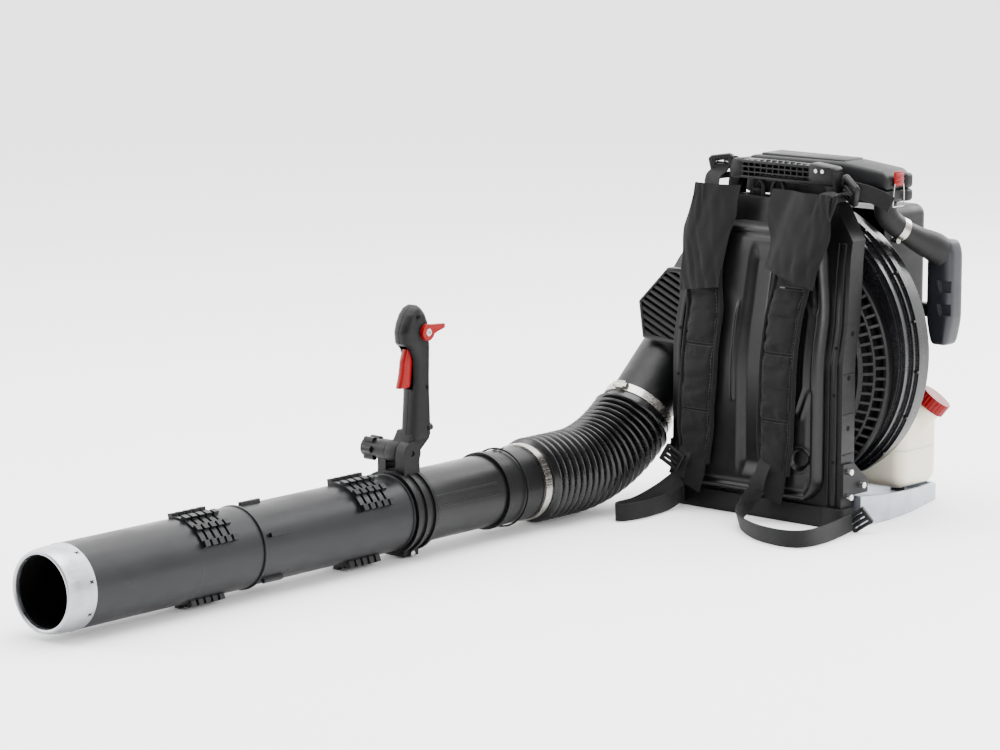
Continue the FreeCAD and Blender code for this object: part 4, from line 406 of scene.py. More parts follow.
def turned_frames(path):
    """Direction and two cross directions at each point of a path, without twist."""
    directions = []
    for index in range(len(path)):
        before, after = path[max(index - 1, 0)], path[min(index + 1, len(path) - 1)]
        directions.append((after - before).normalized())
    side = directions[0].orthogonal().normalized()
    frames = []
    for direction in directions:
        side = (side - direction * side.dot(direction)).normalized()
        frames.append((direction, side, direction.cross(side)))
    return frames


def wrapped_faces(rows, around):
    """The faces of a closed skin: rows of points, around points in each, every row joined to the next."""
    return [(row * around + step, row * around + (step + 1) % around,
             (row + 1) * around + (step + 1) % around, (row + 1) * around + step)
            for row in range(rows - 1) for step in range(around)]


def sheet_faces(rows, across):
    """The faces of an open sheet: rows of points, across points in each."""
    return [(first, first + 1, first + 1 + across, first + across)
            for row in range(rows - 1) for first in range(row * across, row * across + across - 1)]


def facing(spot, out):
    """The matrix that stands a shape at a spot, its Z axis along out."""
    return Matrix.Translation(spot) @ out.to_track_quat("Z", "Y").to_matrix().to_4x4()


def lathe_path(path, radii, segments):
    """Points and faces of a round skin whose centre follows path with one radius a point."""
    frames = turned_frames(path)
    points = []
    for centre, radius, (_, side, other) in zip(path, radii, frames):
        for step in range(segments):
            angle = 2 * math.pi * step / segments
            points.append(centre + (side * math.cos(angle) + other * math.sin(angle)) * radius)
    return points, wrapped_faces(len(path), segments)


def smooth_line(points, steps=8):
    """A Catmull-Rom curve through the points."""
    spread = [2 * points[0] - points[1], *points, 2 * points[-1] - points[-2]]
    line = []
    for index in range(1, len(spread) - 2):
        a, b, c, d = spread[index - 1:index + 3]
        for step in range(steps):
            t = step / steps
            line.append(0.5 * (2 * b + (c - a) * t + (2 * a - 5 * b + 4 * c - d) * t * t
                               + (3 * b - a - 3 * c + d) * t ** 3))
    line.append(points[-1])
    return line


def band(name, stations, width, thick, slot, body, steps=8, edge=0.25, **rest):
    """A flat band. Each station is (point, direction across the band). Its rim is rounded."""
    centres = smooth_line([Vector(place) for place, _ in stations], steps)
    across = smooth_line([Vector(direction).normalized() for _, direction in stations], steps)
    section = []
    half, rim = width / 2, thick / 2
    for sign in (1, -1):
        for share in (-1.0, -0.97, -0.5, 0.0, 0.5, 0.97, 1.0):
            bulge = rim * (edge if abs(share) == 1.0 else 1.0)
            section.append((share * half * sign, bulge * sign))
    points, flat = [], []
    run = 0.0
    count = len(section)
    for index, centre in enumerate(centres):
        before, after = centres[max(index - 1, 0)], centres[min(index + 1, len(centres) - 1)]
        along = (after - before).normalized()
        side = across[index] - along * across[index].dot(along)
        side.normalize()
        facing = along.cross(side)
        if index:
            run += (centre - centres[index - 1]).length
        for offset, lift in section:
            points.append(centre + side * offset + facing * lift)
            flat.append((offset, run))
    faces = wrapped_faces(len(centres), count)
    faces.append(tuple(range(count)))
    faces.append(tuple(reversed(range((len(centres) - 1) * count, len(centres) * count))))
    return new_piece(name, points, faces, slot, body, flat_map=flat, **rest)


def block(made, low, high, rounding, segments=3, turn=None):
    """Adds a box with rounded edges to a bmesh. turn is a matrix that places it."""
    sizes = [b - a for a, b in zip(low, high)]
    centre = (Vector(low) + Vector(high)) / 2
    matrix = Matrix.Translation(centre) @ Matrix.Diagonal((*sizes, 1))
    fresh = bmesh.ops.create_cube(made, size=1, matrix=matrix)
    if rounding:
        edges = list(dict.fromkeys(edge for vertex in fresh["verts"] for edge in vertex.link_edges))
        done = bmesh.ops.bevel(made, geom=edges, offset=rounding, segments=segments, profile=0.5,
                               affect="EDGES", clamp_overlap=True)
        bevelled = dict.fromkeys(vertex for face in done["faces"] for vertex in face.verts)
        linked = dict.fromkeys(other for vertex in bevelled for face in vertex.link_faces for other in face.verts)
        vertices = list(dict.fromkeys([*bevelled, *linked]))
    else:
        vertices = fresh["verts"]
    if turn is not None:
        bmesh.ops.transform(made, matrix=turn, verts=vertices)
    return vertices


def rod(made, start, end, radius, segments=20, end_radius=None):
    """Adds a cylinder or cone between two points to a bmesh."""
    start, end = Vector(start), Vector(end)
    axis = end - start
    matrix = facing((start + end) / 2, axis)
    other = radius if end_radius is None else end_radius
    return bmesh.ops.create_cone(made, cap_ends=True, segments=segments, radius1=radius, radius2=other,
                                 depth=axis.length, matrix=matrix)["verts"]


def tree_of(node):
    """A CAD node's surface, for finding where it is."""
    mesh = NODES[node].data
    return BVHTree.FromPolygons([vertex.co for vertex in mesh.vertices],
                                [list(face.vertices) for face in mesh.polygons])


def ease(low, high, value):
    """A smooth step from 0 at low to 1 at high."""
    share = min(max((value - low) / (high - low), 0.0), 1.0)
    return share * share * (3 - 2 * share)


def lean_y(z):
    """The back frame's leaning front face: how far back it is at a height."""
    knots = ((0.25, 0.0), (0.4, 0.03), (0.532, 0.072))
    if z <= knots[0][0]:
        return 0.0
    first, second = (knots[0], knots[1]) if z < knots[1][0] else (knots[1], knots[2])
    return first[1] + (second[1] - first[1]) * (z - first[0]) / (second[0] - first[0])


def soft_lean_y(z):
    """The same face with its two bends eased, as padding lies on it."""
    reach = 0.035
    steps = 7
    return sum(lean_y(z + reach * (2 * step / (steps - 1) - 1)) for step in range(steps)) / steps


def islands(node):
    """The boxes of a CAD node's separate solids, from left to right."""
    made = bmesh.new()
    made.from_mesh(NODES[node].data)
    bmesh.ops.remove_doubles(made, verts=made.verts, dist=1e-6)
    left = set(made.verts)
    boxes = []
    while left:
        group, edge = [], [left.pop()]
        while edge:
            vertex = edge.pop()
            group.append(vertex.co.copy())
            for other in (link.other_vert(vertex) for link in vertex.link_edges):
                if other in left:
                    left.discard(other)
                    edge.append(other)
        low = Vector(min(co[axis] for co in group) for axis in range(3))
        high = Vector(max(co[axis] for co in group) for axis in range(3))
        boxes.append((low, high))
    made.free()
    return sorted(boxes, key=lambda pair: pair[0].x)


def rounded(piece, width, segments=3, angle=30):
    """Rounds a piece's hard edges for good."""
    modifier = piece.modifiers.new("round", "BEVEL")
    modifier.width = width
    modifier.segments = segments
    modifier.limit_method = "ANGLE"
    modifier.angle_limit = math.radians(angle)
    modifier.harden_normals = False
    settle(piece)
    return piece


def settle(piece, sharp=40):
    """Applies a piece's modifiers and shades it smooth again."""
    bpy.context.view_layer.update()
    graph = bpy.context.evaluated_depsgraph_get()
    mesh = bpy.data.meshes.new_from_object(piece.evaluated_get(graph))
    piece.modifiers.clear()
    old = piece.data
    piece.data = mesh
    bpy.data.meshes.remove(old)
    mesh.polygons.foreach_set("use_smooth", [True] * len(mesh.polygons))
    mesh.set_sharp_from_angle(angle=math.radians(sharp))


def carve(piece, cutter, operation="DIFFERENCE"):
    """Cuts one piece with another, which is then removed."""
    modifier = piece.modifiers.new("carve", "BOOLEAN")
    modifier.operation = operation
    modifier.solver = "EXACT"
    modifier.object = cutter
    settle(piece)
    bpy.data.objects.remove(cutter)
    return piece


def loose(name, made):
    """A plain object from a bmesh, used only as a cutter."""
    bmesh.ops.recalc_face_normals(made, faces=made.faces)
    mesh = bpy.data.meshes.new(name)
    made.to_mesh(mesh)
    made.free()
    cutter = bpy.data.objects.new(name, mesh)
    SCENE.collection.objects.link(cutter)
    return cutter


def plate(made, outline, low, high, plane="XZ"):
    """Adds a flat plate to a bmesh: an outline in a plane, from low to high across it."""
    def place(pair, across):
        first, second = pair
        return {"XZ": (first, across, second), "YZ": (across, first, second), "XY": (first, second, across)}[plane]
    near = [made.verts.new(place(pair, low)) for pair in outline]
    far = [made.verts.new(place(pair, high)) for pair in outline]
    count = len(outline)
    made.faces.new(near)
    made.faces.new(list(reversed(far)))
    for index in range(count):
        after = (index + 1) % count
        made.faces.new((near[after], near[index], far[index], far[after]))
    return near + far


# ---------------------------------------------------------------- blower tube

MIDDLE_RIM_RADIUS = 0.0566
COLLAR_RADIUS = 0.0574
TUBE_X = middle("swivel_pipe").x
TUBE_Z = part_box("wear_ring")[0].z / 2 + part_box("wear_ring")[1].z / 2


def about_tube(y, radius, angle):
    """A point round the tube's axis. Angle 0 is up and 90 is towards -X."""
    return Vector((TUBE_X - radius * math.sin(angle), y, TUBE_Z + radius * math.cos(angle)))


def tube_skin(name, profile, slot, body, segments=96, replaces=()):
    """A skin turned about the tube's axis from (place along Y, radius) pairs."""
    points, faces = [], []
    for y, radius in profile:
        points += [about_tube(y, radius, 2 * math.pi * step / segments) for step in range(segments)]
    rows = len(profile)
    for row in range(rows):
        following = (row + 1) % rows
        for step in range(segments):
            after = (step + 1) % segments
            faces.append((row * segments + step, following * segments + step,
                          following * segments + after, row * segments + after))
    return new_piece(name, points, faces, slot, body, sharp=50, replaces=replaces)


def wear_ring():
    """The alloy ring on the mouth: a rolled lip, staked crosses drawn as dark marks (painted shade in their
    dimples) and a black liner inside, darkened as painted shade of the hollow mouth.
    """
    low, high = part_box("wear_ring")
    outer = (high.x - low.x) / 2
    front, rear = low.y, high.y
    lip = [(front + 0.003 - 0.003 * math.sin(turn), outer - 0.0058 + 0.003 * math.cos(turn))
           for turn in (math.pi * step / 8 for step in range(9))]
    profile = [(rear, outer - 0.0022), (rear, outer), (front + 0.020, outer - 0.0002),
               (front + 0.012, outer - 0.001), (front + 0.006, outer - 0.0022), *lip,
               (front + 0.012, outer - 0.0084), (rear - 0.012, outer - 0.0048)]
    tube_skin("wear_ring_shell", profile, "wear_alloy", "front", replaces=("wear_ring",))
    # The liner uses void_black: painted shade of the dark hollow inside the mouth.
    liner = [(front + 0.008, outer - 0.0088), (front + 0.008, outer - 0.0098), (rear + 0.01, outer - 0.0058),
             (rear + 0.01, outer - 0.0050)]
    tube_skin("mouth_liner", liner, "void_black", "front")
    # The staked crosses are small void_black blocks: painted shade in the dimples.
    made = bmesh.new()
    for index in range(8):
        angle = 2 * math.pi * (index + 0.35) / 8
        spot = about_tube(rear - 0.0075, outer + 0.0001, angle)
        out = (spot - Vector((TUBE_X, spot.y, TUBE_Z))).normalized()
        turn = facing(spot, out)
        for lean in (0.6, -0.6):
            block(made, (-0.0036, -0.0008, -0.0008), (0.0036, 0.0008, 0.0003), 0.0003, 1,
                  turn @ Matrix.Rotation(lean, 4, "Z"))
    from_bmesh("ring_stakes", made, "void_black", "front")


def pipe_rims():
    """The raised rims at the rear ends of the two front pipes."""
    front_low, front_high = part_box("front_pipe")
    radius = (front_high.x - front_low.x) / 2
    for name, body, start, end, size in (
            ("front_pipe_rim", "front", front_high.y - 0.004, front_high.y, radius + 0.0008),
            ("middle_pipe_rim", "middle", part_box("middle_pipe")[1].y - 0.005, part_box("middle_pipe")[1].y,
             MIDDLE_RIM_RADIUS)):
        profile = [(start, size - 0.0016), (start + 0.001, size), (end - 0.001, size), (end, size - 0.0016),
                   (end, size - 0.0024), (start, size - 0.0024)]
        tube_skin(name, profile, "tube_charcoal", body)


def collar_ribs():
    """Fine ribs along the collar's cuff, for turning it by hand."""
    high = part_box("swivel_collar")[1]
    made = bmesh.new()
    count = 72
    for index in range(count):
        angle = 2 * math.pi * index / count
        spot = about_tube(0, COLLAR_RADIUS, angle)
        out = (spot - Vector((TUBE_X, 0, TUBE_Z))).normalized()
        turn = facing(Vector((spot.x, high.y - 0.040, spot.z)), out)
        block(made, (-0.0009, -0.0125, -0.001), (0.0009, 0.0125, 0.0007), 0.0004, 1, turn)
    from_bmesh("collar_ribs", made, "black_plastic", "hose_front")


# ---------------------------------------------------------------- bellows hose

HOSE_SLOPE = math.radians(41.35)
HOSE_TOP = Vector((TUBE_X, -0.009, 0.135))
HOSE_FRONT_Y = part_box("flexible_hose")[0].y


def hose_line(step=0.0011):
    """The hose's centre line: level from the tube, then bent up to the elbow."""
    rise = HOSE_TOP.z - TUBE_Z
    corner_y = HOSE_TOP.y - rise / math.tan(HOSE_SLOPE)
    tangent = rise / math.sin(HOSE_SLOPE) * 0.86
    radius = tangent / math.tan(HOSE_SLOPE / 2)
    line = []
    y = HOSE_FRONT_Y
    while y < corner_y - tangent:
        line.append(Vector((TUBE_X, y, TUBE_Z)))
        y += step
    turns = max(int(radius * HOSE_SLOPE / step), 8)
    for index in range(turns + 1):
        angle = HOSE_SLOPE * index / turns
        line.append(Vector((TUBE_X, corner_y - tangent + radius * math.sin(angle),
                            TUBE_Z + radius * (1 - math.cos(angle)))))
    end = HOSE_TOP + Vector((0, math.cos(HOSE_SLOPE), math.sin(HOSE_SLOPE))) * 0.008
    last = line[-1]
    rest = (end - last).length
    steps = int(rest / step)
    line += [last + (end - last) * (index / steps) for index in range(1, steps + 1)]
    return line


def bellows():
    """The corrugated rubber hose, in two halves split at its tenth fold."""
    line = hose_line()
    lengths = [0.0]
    for before, after in zip(line, line[1:]):
        lengths.append(lengths[-1] + (after - before).length)
    total = lengths[-1]
    cuff_front, cuff_rear = 0.024, 0.024
    low, crest, cuff = 0.0545, 0.0640, 0.0556
    folds, around, wall = 19, 72, 0.0022
    pitch = (total - cuff_front - cuff_rear) / folds
    radii = []
    for run in lengths:
        if run < cuff_front or run > total - cuff_rear:
            radii.append(cuff)
            continue
        phase = (run - cuff_front) / pitch
        wave = 0.5 - 0.5 * math.cos(2 * math.pi * phase)
        radii.append(low + (crest - low) * wave ** 0.75)
    split = next(index for index, run in enumerate(lengths) if run > cuff_front + pitch * 10)
    halves = (("hose_bellows_front", slice(0, split + 1)), ("hose_bellows_rear", slice(split, None)))
    for name, part in halves:
        path, sizes = line[part], radii[part]
        points, faces = lathe_path(path, sizes, around)
        inside, inner = lathe_path(path, [size - wall for size in sizes], around)
        offset = len(points)
        points += inside
        faces += [tuple(index + offset for index in reversed(face)) for face in inner]
        for row in (0, len(path) - 1):
            for step in range(around):
                first, second = row * around + step, row * around + (step + 1) % around
                ring = (first, second, offset + second, offset + first)
                faces.append(tuple(reversed(ring)) if row == 0 else ring)
        piece = new_piece(name, points, faces, "rubber", None, sharp=60, replaces=("flexible_hose",))
        if name == "hose_bellows_rear":
            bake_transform(piece)
        else:
            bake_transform(piece)


def starter_cord():
    """The starter's cord, which pays out of its housing when the handle is pulled."""
    low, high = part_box("starter_handle")
    near = Vector((low.x + 0.005, (low.y + high.y) / 2, (low.z + high.z) / 2))
    far = near + Vector((0.023, 0, 0))
    steps, around = 24, 16
    points = []
    for step in range(steps + 1):
        place = near.lerp(far, step / steps)
        points += [place + Vector((0, math.cos(2 * math.pi * side / around), math.sin(2 * math.pi * side / around)))
                   * 0.0022 for side in range(around)]
    faces = wrapped_faces(steps + 1, around)
    faces += [tuple(reversed(range(around))), tuple(range(steps * around, (steps + 1) * around))]
    piece = new_piece("starter_cord", points, faces, "rubber", None, sharp=60)
    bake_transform(piece)


# ---------------------------------------------------------------- back pad and straps

def back_pad():
    """The glossy moulded pad: a raised rim, two cushions, grooves, stepped marks and a round dimple."""
    low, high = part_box("back_pad")
    half = (high.x - low.x) / 2 - 0.001
    bottom, top = low.z + 0.001, high.z - 0.001
    columns, rows = 150, 220
    corner = 0.045

    def half_at(z):
        """Half the pad's width at a height, with rounded corners and a narrower top."""
        width = half - 0.024 * ease(0.30, top, z) if z > 0.30 else half
        for edge in (z - bottom, top - z):
            if edge < corner:
                width -= corner - math.sqrt(max(corner ** 2 - (corner - edge) ** 2, 0.0))
        return max(width, 0.004)

    def relief(x, z):
        """The pad's thickness at a place."""
        width = half_at(z)
        edge = min(width - abs(x), z - bottom, top - z)
        thick = 0.0145 * ease(0.0, 0.012, edge) ** 0.5
        thick -= 0.0035 * math.exp(-((edge - 0.017) / 0.0035) ** 2)
        thick -= 0.0085 * (1 - ease(0.012, 0.026, abs(x))) * ease(0.045, 0.075, edge + 0.02)
        for side in (-1, 1):
            thick += 0.0022 * math.exp(-((x - side * 0.072) / 0.032) ** 2) * ease(0.02, 0.05, edge)
            for start, end, place in ((0.172, 0.335, 0.099), (0.166, 0.320, 0.112)):
                bend = place - max(0.208 - z, 0) * 0.36 - max(z - 0.315, 0) * 0.5
                near = math.exp(-((x - side * bend) / 0.0030) ** 2)
                thick += 0.0026 * near * ease(start - 0.008, start, z) * (1 - ease(end, end + 0.03, z))
            ridge = 0.032 + max(0.200 - z, 0) * 0.36 * (1 if side > 0 else 0)
            near = math.exp(-((x - side * ridge) / 0.0026) ** 2)
            thick += 0.0022 * near * ease(0.172, 0.180, z) * (1 - ease(0.30, 0.33, z))
            away = math.hypot(x - side * 0.092, z - 0.100)
            thick -= 0.0075 * (1 - ease(0.013, 0.0175, away))
            thick += 0.0014 * math.exp(-((away - 0.0195) / 0.0022) ** 2)
        return max(thick, 0.0006)

    points = []
    for row in range(rows + 1):
        z = bottom + (top - bottom) * row / rows
        width = half_at(z)
        for column in range(columns + 1):
            x = width * (2 * column / columns - 1)
            points.append(Vector((x, lean_pad(z) - relief(x, z), z)))
    across = columns + 1
    faces = sheet_faces(rows + 1, across)
    rim = ([column for column in range(across)] + [row * across + columns for row in range(1, rows + 1)]
           + [rows * across + column for column in range(columns - 1, -1, -1)]
           + [row * across for row in range(rows - 1, 0, -1)])
    behind = []
    for index in rim:
        point = points[index].copy()
        point.y = lean_pad(point.z) - 0.0001
        behind.append(len(points))
        points.append(point)
    count = len(rim)
    for index in range(count):
        after = (index + 1) % count
        faces.append((rim[after], rim[index], behind[index], behind[after]))
    piece = new_piece("back_pad_moulding", points, faces, "pad_foam", "pack", sharp=75, replaces=("back_pad",))


def lean_pad(z):
    """Where the pad's back lies on the frame."""
    return soft_lean_y(z) - 0.0012


STRAP_THICK = 0.015
STRAP_HALF = 0.031


class Strap:
    """One shoulder strap's course: where its middle is at each height."""

    def __init__(self, side, knots):
        self.side = side
        self.knots = sorted(knots)

    def x(self, z):
        """The middle's place across the back."""
        knots = self.knots
        if z <= knots[0][0]:
            return knots[0][1]
        for (z0, x0), (z1, x1) in zip(knots, knots[1:]):
            if z <= z1:
                share = (z - z0) / (z1 - z0)
                share = share * share * (3 - 2 * share)
                return x0 + (x1 - x0) * share
        return knots[-1][1]

    def back(self, z):
        """Where the strap's back is: on the pad."""
        return soft_lean_y(z) - 0.0195

    def half(self, z):
        """Half its width: narrower at the lower end."""
        return STRAP_HALF * (0.8 + 0.2 * ease(STRAP_LOW, STRAP_LOW + 0.06, z)) * (1 - 0.10 * ease(0.40, 0.48, z))


STRAP_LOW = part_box("strap_pad_left")[0].z + 0.002
STRAP_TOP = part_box("strap_pad_left")[1].z - 0.003
STRAPS = {
    "left": Strap("left", [(0.07, 0.056), (0.14, 0.056), (0.22, 0.059), (0.30, 0.060), (0.37, 0.068), (0.43, 0.082),
                           (0.492, 0.092)]),
    "right": Strap("right", [(0.07, -0.094), (0.15, -0.093), (0.22, -0.088), (0.30, -0.086), (0.37, -0.098),
                             (0.43, -0.108), (0.492, -0.112)]),
}
TACKS = (0.155, 0.255, 0.352)
CLOTH_FRAMES = 20
STITCH_THICK = 0.00042


def strap_body(strap):
    """The padded part: a soft form blown up by a cloth simulation between its sewn edges and cross seams."""
    rows, around = 90, 28
    points = []
    for row in range(rows + 1):
        z = STRAP_LOW + (STRAP_TOP - STRAP_LOW) * row / rows
        end = min(z - STRAP_LOW, STRAP_TOP - z)
        swell = 0.45 + 0.55 * ease(0.0, 0.012, end)
        for step in range(around):
            angle = 2 * math.pi * step / around
            u = math.cos(angle)
            lift = math.sin(angle)
            lift = math.copysign(abs(lift) ** 0.6, lift)
            u = math.copysign(abs(u) ** 0.8, u)
            thick = STRAP_THICK * 0.40 * swell * (1 - 0.35 * u ** 6)
            points.append(Vector((strap.x(z) + u * (strap.half(z) - 0.001),
                                  strap.back(z) - STRAP_THICK * 0.5 - lift * thick, z)))
    faces = wrapped_faces(rows + 1, around)
    faces.append(tuple(reversed(range(around))))
    faces.append(tuple(range(rows * around, (rows + 1) * around)))
    name = "shoulder_strap_" + strap.side
    piece = new_piece(name, points, faces, "strap_fabric", None, sharp=80)
    puff(piece, strap)
    stitch_down(piece, strap)
    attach(piece, "pack")
    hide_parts("strap_pad_" + strap.side)


def puff(piece, strap):
    """Remeshes a strap and blows it up a little with cloth, held along its edges and cross seams."""
    remesh = piece.modifiers.new("even", "REMESH")
    remesh.mode = "VOXEL"
    remesh.voxel_size = 0.0042
    settle(piece)
    rest = [vertex.co.copy() for vertex in piece.data.vertices]
    held = piece.vertex_groups.new(name="held")
    for index, place in enumerate(rest):
        u = abs(place.x - strap.x(place.z)) / strap.half(place.z)
        seam = min(abs(place.z - tack) for tack in TACKS)
        grip = max(ease(0.86, 0.97, u), 1 - ease(0.002, 0.008, seam))
        held.add([index], grip, "REPLACE")
    cloth = piece.modifiers.new("cloth", "CLOTH")
    cloth.settings.quality = 5
    cloth.settings.mass = 0.25
    cloth.settings.tension_stiffness = 12
    cloth.settings.compression_stiffness = 12
    cloth.settings.bending_stiffness = 0.4
    cloth.settings.shrink_min = -0.05
    cloth.settings.use_pressure = True
    cloth.settings.uniform_pressure_force = 5.0
    cloth.settings.vertex_group_mass = "held"
    cloth.settings.effector_weights.gravity = 0
    cloth.collision_settings.use_collision = False
    for number in range(1, CLOTH_FRAMES + 1):
        SCENE.frame_set(number)
    graph = bpy.context.evaluated_depsgraph_get()
    after = [vertex.co.copy() for vertex in piece.evaluated_get(graph).data.vertices]
    piece.modifiers.clear()
    piece.vertex_groups.clear()
    cap = 0.0035
    for vertex, start, end in zip(piece.data.vertices, rest, after):
        shift = end - start
        if shift.length > cap:
            shift *= cap / shift.length
        vertex.co = start + shift
    SCENE.frame_set(1)
    smooth = piece.modifiers.new("finer", "SUBSURF")
    smooth.levels = 1
    smooth.render_levels = 1
    settle(piece, 80)


def stitch_down(piece, strap):
    """Draws a padded strap in along its cross seams and edge seams, and gives it soft creases."""
    for vertex in piece.data.vertices:
        place = vertex.co
        u = (place.x - strap.x(place.z)) / strap.half(place.z)
        ahead = strap.back(place.z) - STRAP_THICK * 0.5 - place.y
        if ahead <= 0:
            continue
        seam = min(abs(place.z - tack) for tack in TACKS)
        pull = 0.0042 * math.exp(-(seam / 0.0035) ** 2) * (1 - ease(0.9, 1.0, abs(u)))
        pull += 0.0022 * math.exp(-((abs(u) - 0.80) / 0.05) ** 2)
        crease = noise.noise(Vector((place.x * 20, place.z * 55, 3.0))) * 0.0013
        crease += noise.noise(Vector((place.x * 60, place.z * 30, 7.0))) * 0.0007
        place.y += min(pull + crease, ahead * 0.85)


def strap_trim(strap):
    """A strap's edge binding, stitches, cross seams and bar tack."""
    steps = 40
    heights = [STRAP_LOW + (STRAP_TOP - STRAP_LOW) * index / steps for index in range(steps + 1)]
    for side, word in ((-1, "outer"), (1, "inner")):
        path = [Vector((strap.x(z) + side * (strap.half(z) - 0.0008), strap.back(z) - STRAP_THICK * 0.5, z))
                for z in heights]
        points, faces = lathe_path(path, [0.0042] * len(path), 12)
        for point in points:
            rim_x = strap.x(point.z) + side * strap.half(point.z)
            point.x = rim_x + (point.x - strap.x(point.z) - side * strap.half(point.z)) * 0.72
        faces.append(tuple(range(12)))
        faces.append(tuple(reversed(range(len(points) - 12, len(points)))))
        new_piece(f"strap_binding_{strap.side}_{word}", points, faces, "strap_fabric", "pack", sharp=80)
    made = bmesh.new()
    tree = BVHTree.FromObject(bpy.data.objects["shoulder_strap_" + strap.side],
                              bpy.context.evaluated_depsgraph_get())

    def on_strap(x, z):
        """A point on the strap's front."""
        found = tree.ray_cast(Vector((x, -1.0, z)), Vector((0, 1, 0)))
        return found[0] if found[0] is not None else Vector((x, strap.back(z) - STRAP_THICK, z))

    pitch = 0.0052
    for share in (-0.80, 0.80):
        z = STRAP_LOW + 0.006
        while z < STRAP_TOP - 0.006:
            start = on_strap(strap.x(z) + share * strap.half(z), z)
            end = on_strap(strap.x(z + 0.0032) + share * strap.half(z + 0.0032), z + 0.0032)
            rod(made, start, end, STITCH_THICK, 6)
            z += pitch
    for tack in TACKS:
        for offset in (-0.0022, 0.0022):
            x = strap.x(tack) - 0.72 * strap.half(tack)
            while x < strap.x(tack) + 0.72 * strap.half(tack):
                rod(made, on_strap(x, tack + offset), on_strap(x + 0.003, tack + offset), STITCH_THICK, 6)
                x += 0.0048
    from_bmesh("strap_stitching_" + strap.side, made, "thread_black", "pack")
    made = bmesh.new()
    tack = TACKS[-1]
    for index in range(9):
        x = strap.x(tack) - 0.62 * strap.half(tack) + index * 0.0011
        height = 0.0010 if index % 2 else 0.0007
        rod(made, on_strap(x, tack - height) + Vector((0, -0.0003, 0)),
            on_strap(x + 0.0006, tack + height) + Vector((0, -0.0003, 0)), 0.0005, 6)
    from_bmesh("strap_bar_tack_" + strap.side, made, "thread_pale", "pack")


def strap_flap(strap, low, slant, name, wider):
    """The second layer over a strap's upper end, with a slanted lower edge and wings past the strap's sides."""
    columns, rows = 30, 40
    points, flat = [], []
    for row in range(rows + 1):
        for column in range(columns + 1):
            u = 2 * column / columns - 1
            share = row / rows
            z = low + slant * u + (STRAP_TOP + 0.002 - low - slant * u) * share
            foot, head = wider[0] if u < 0 else wider[1]
            wing = foot + (head - foot) * ease(0.0, 1.0, share)
            taper = 0.06 if u * strap.x(z) < 0 else 0.42
            half = (strap.half(z) + 0.0012 + wing) * (1 - taper * ease(0.55, 1.0, share))
            beyond = max(abs(u) * half - strap.half(z), 0.0)
            rounding = 0.0040 * min(abs(u) * half / strap.half(z), 1.0) ** 3.5
            crown = 0.0205 - rounding - 0.010 * ease(0.0, 0.03, beyond)
            wrinkle = 0.0024 * noise.noise(Vector((u * 2.2 + z * 9, z * 26 + u * 3, 11.0)))
            hem = 0.0012 * (1 - ease(0, 0.06, share))
            wrinkle += 0.0011 * noise.noise(Vector((u * 5.0 + z * 30, z * 20, 4.0))) + hem
            wrinkle += 0.0016 * noise.noise(Vector((u * 3.4 - z * 22, z * 8, 7.5)))
            y = strap.back(z) - crown - wrinkle
            points.append(Vector((strap.x(z) + u * half, y, z)))
            flat.append((u * half, z))
    across = columns + 1
    faces = sheet_faces(rows + 1, across)
    piece = new_piece(name, points, faces, "strap_fabric", None, sharp=80, flat_map=flat)
    solid = piece.modifiers.new("thick", "SOLIDIFY")
    solid.thickness = 0.0018
    solid.offset = 1.0
    settle(piece, 60)
    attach(piece, "pack")


# ---------------------------------------------------------------- webbing and buckles

WEB_WIDE = 0.026
WEB_THICK = 0.0022


def lower_webbing():
    """The adjusting straps in loops on the floor, standing on edge and rolling over a little."""
    up = Vector((0, 0, 1))

    def on_edge(places, tilts):
        """Stations whose lower edge follows the places. A tilt leans the band over."""
        stations = []
        for index, (place, tilt) in enumerate(zip(places, tilts)):
            before, after = places[max(index - 1, 0)], places[min(index + 1, len(places) - 1)]
            run = (mm(*after) - mm(*before)).normalized()
            side = run.cross(up).normalized()
            direction = (up + side * tilt).normalized()
            stations.append((mm(*place) + direction * (WEB_WIDE / 2), direction))
        return stations

    right = [(-113, -38, 36), (-122, -70, 18), (-132, -114, 3), (-137, -154, 0.8), (-128, -170, 0.8),
             (-115, -158, 0.8), (-111, -110, 0.8), (-120, -54, 1), (-134, -9, 4)]
    left = [(30, -31, 40), (12, -36, 12), (22, -64, 0.8), (58, -104, 0.8), (112, -140, 0.8), (164, -152, 0.8),
            (192, -138, 0.8), (198, -96, 0.8), (190, -46, 0.8), (182, -4, 2)]
    for name, node, places, tilts in (
            ("webbing_loop_right", "webbing_right", right, (0.2, 0.35, 0.3, 0.1, 0, -0.1, -0.15, -0.1, 0)),
            ("webbing_loop_left", "webbing_left", left, (0, 0.1, 0.25, 0.3, 0.2, 0.1, 0, -0.1, -0.12, 0))):
        band(name, on_edge(places, tilts), WEB_WIDE, WEB_THICK, "webbing", "pack", replaces=(node,))


def buckle(made, turn, wide, high, thick, bars=1, heavy=1.0):
    """Adds a moulded buckle to a bmesh: two rails, end bars and middle bars, with a ribbed edge."""
    rail = 0.0055 * heavy
    for side in (-1, 1):
        low = (side * wide / 2 - (rail if side > 0 else 0), -thick / 2, -high / 2)
        block(made, low, (low[0] + rail, thick / 2, high / 2), 0.0018 * heavy, 3, turn)
    levels = [-0.5 + index / (bars + 1) for index in range(bars + 2)]
    for level in levels:
        z = level * (high - 0.0055)
        block(made, (-wide / 2 + 0.003, -thick / 2 + 0.001, z - 0.0026 * heavy),
              (wide / 2 - 0.003, thick / 2 - 0.001, z + 0.0026 * heavy), 0.0015 * heavy, 3, turn)
    for index in range(7):
        x = (index - 3) * wide / 9
        block(made, (x - 0.0008, -thick / 2 - 0.0006, high / 2 - 0.0058),
              (x + 0.0008, -thick / 2 + 0.001, high / 2 - 0.0012), 0.0004, 1, turn)


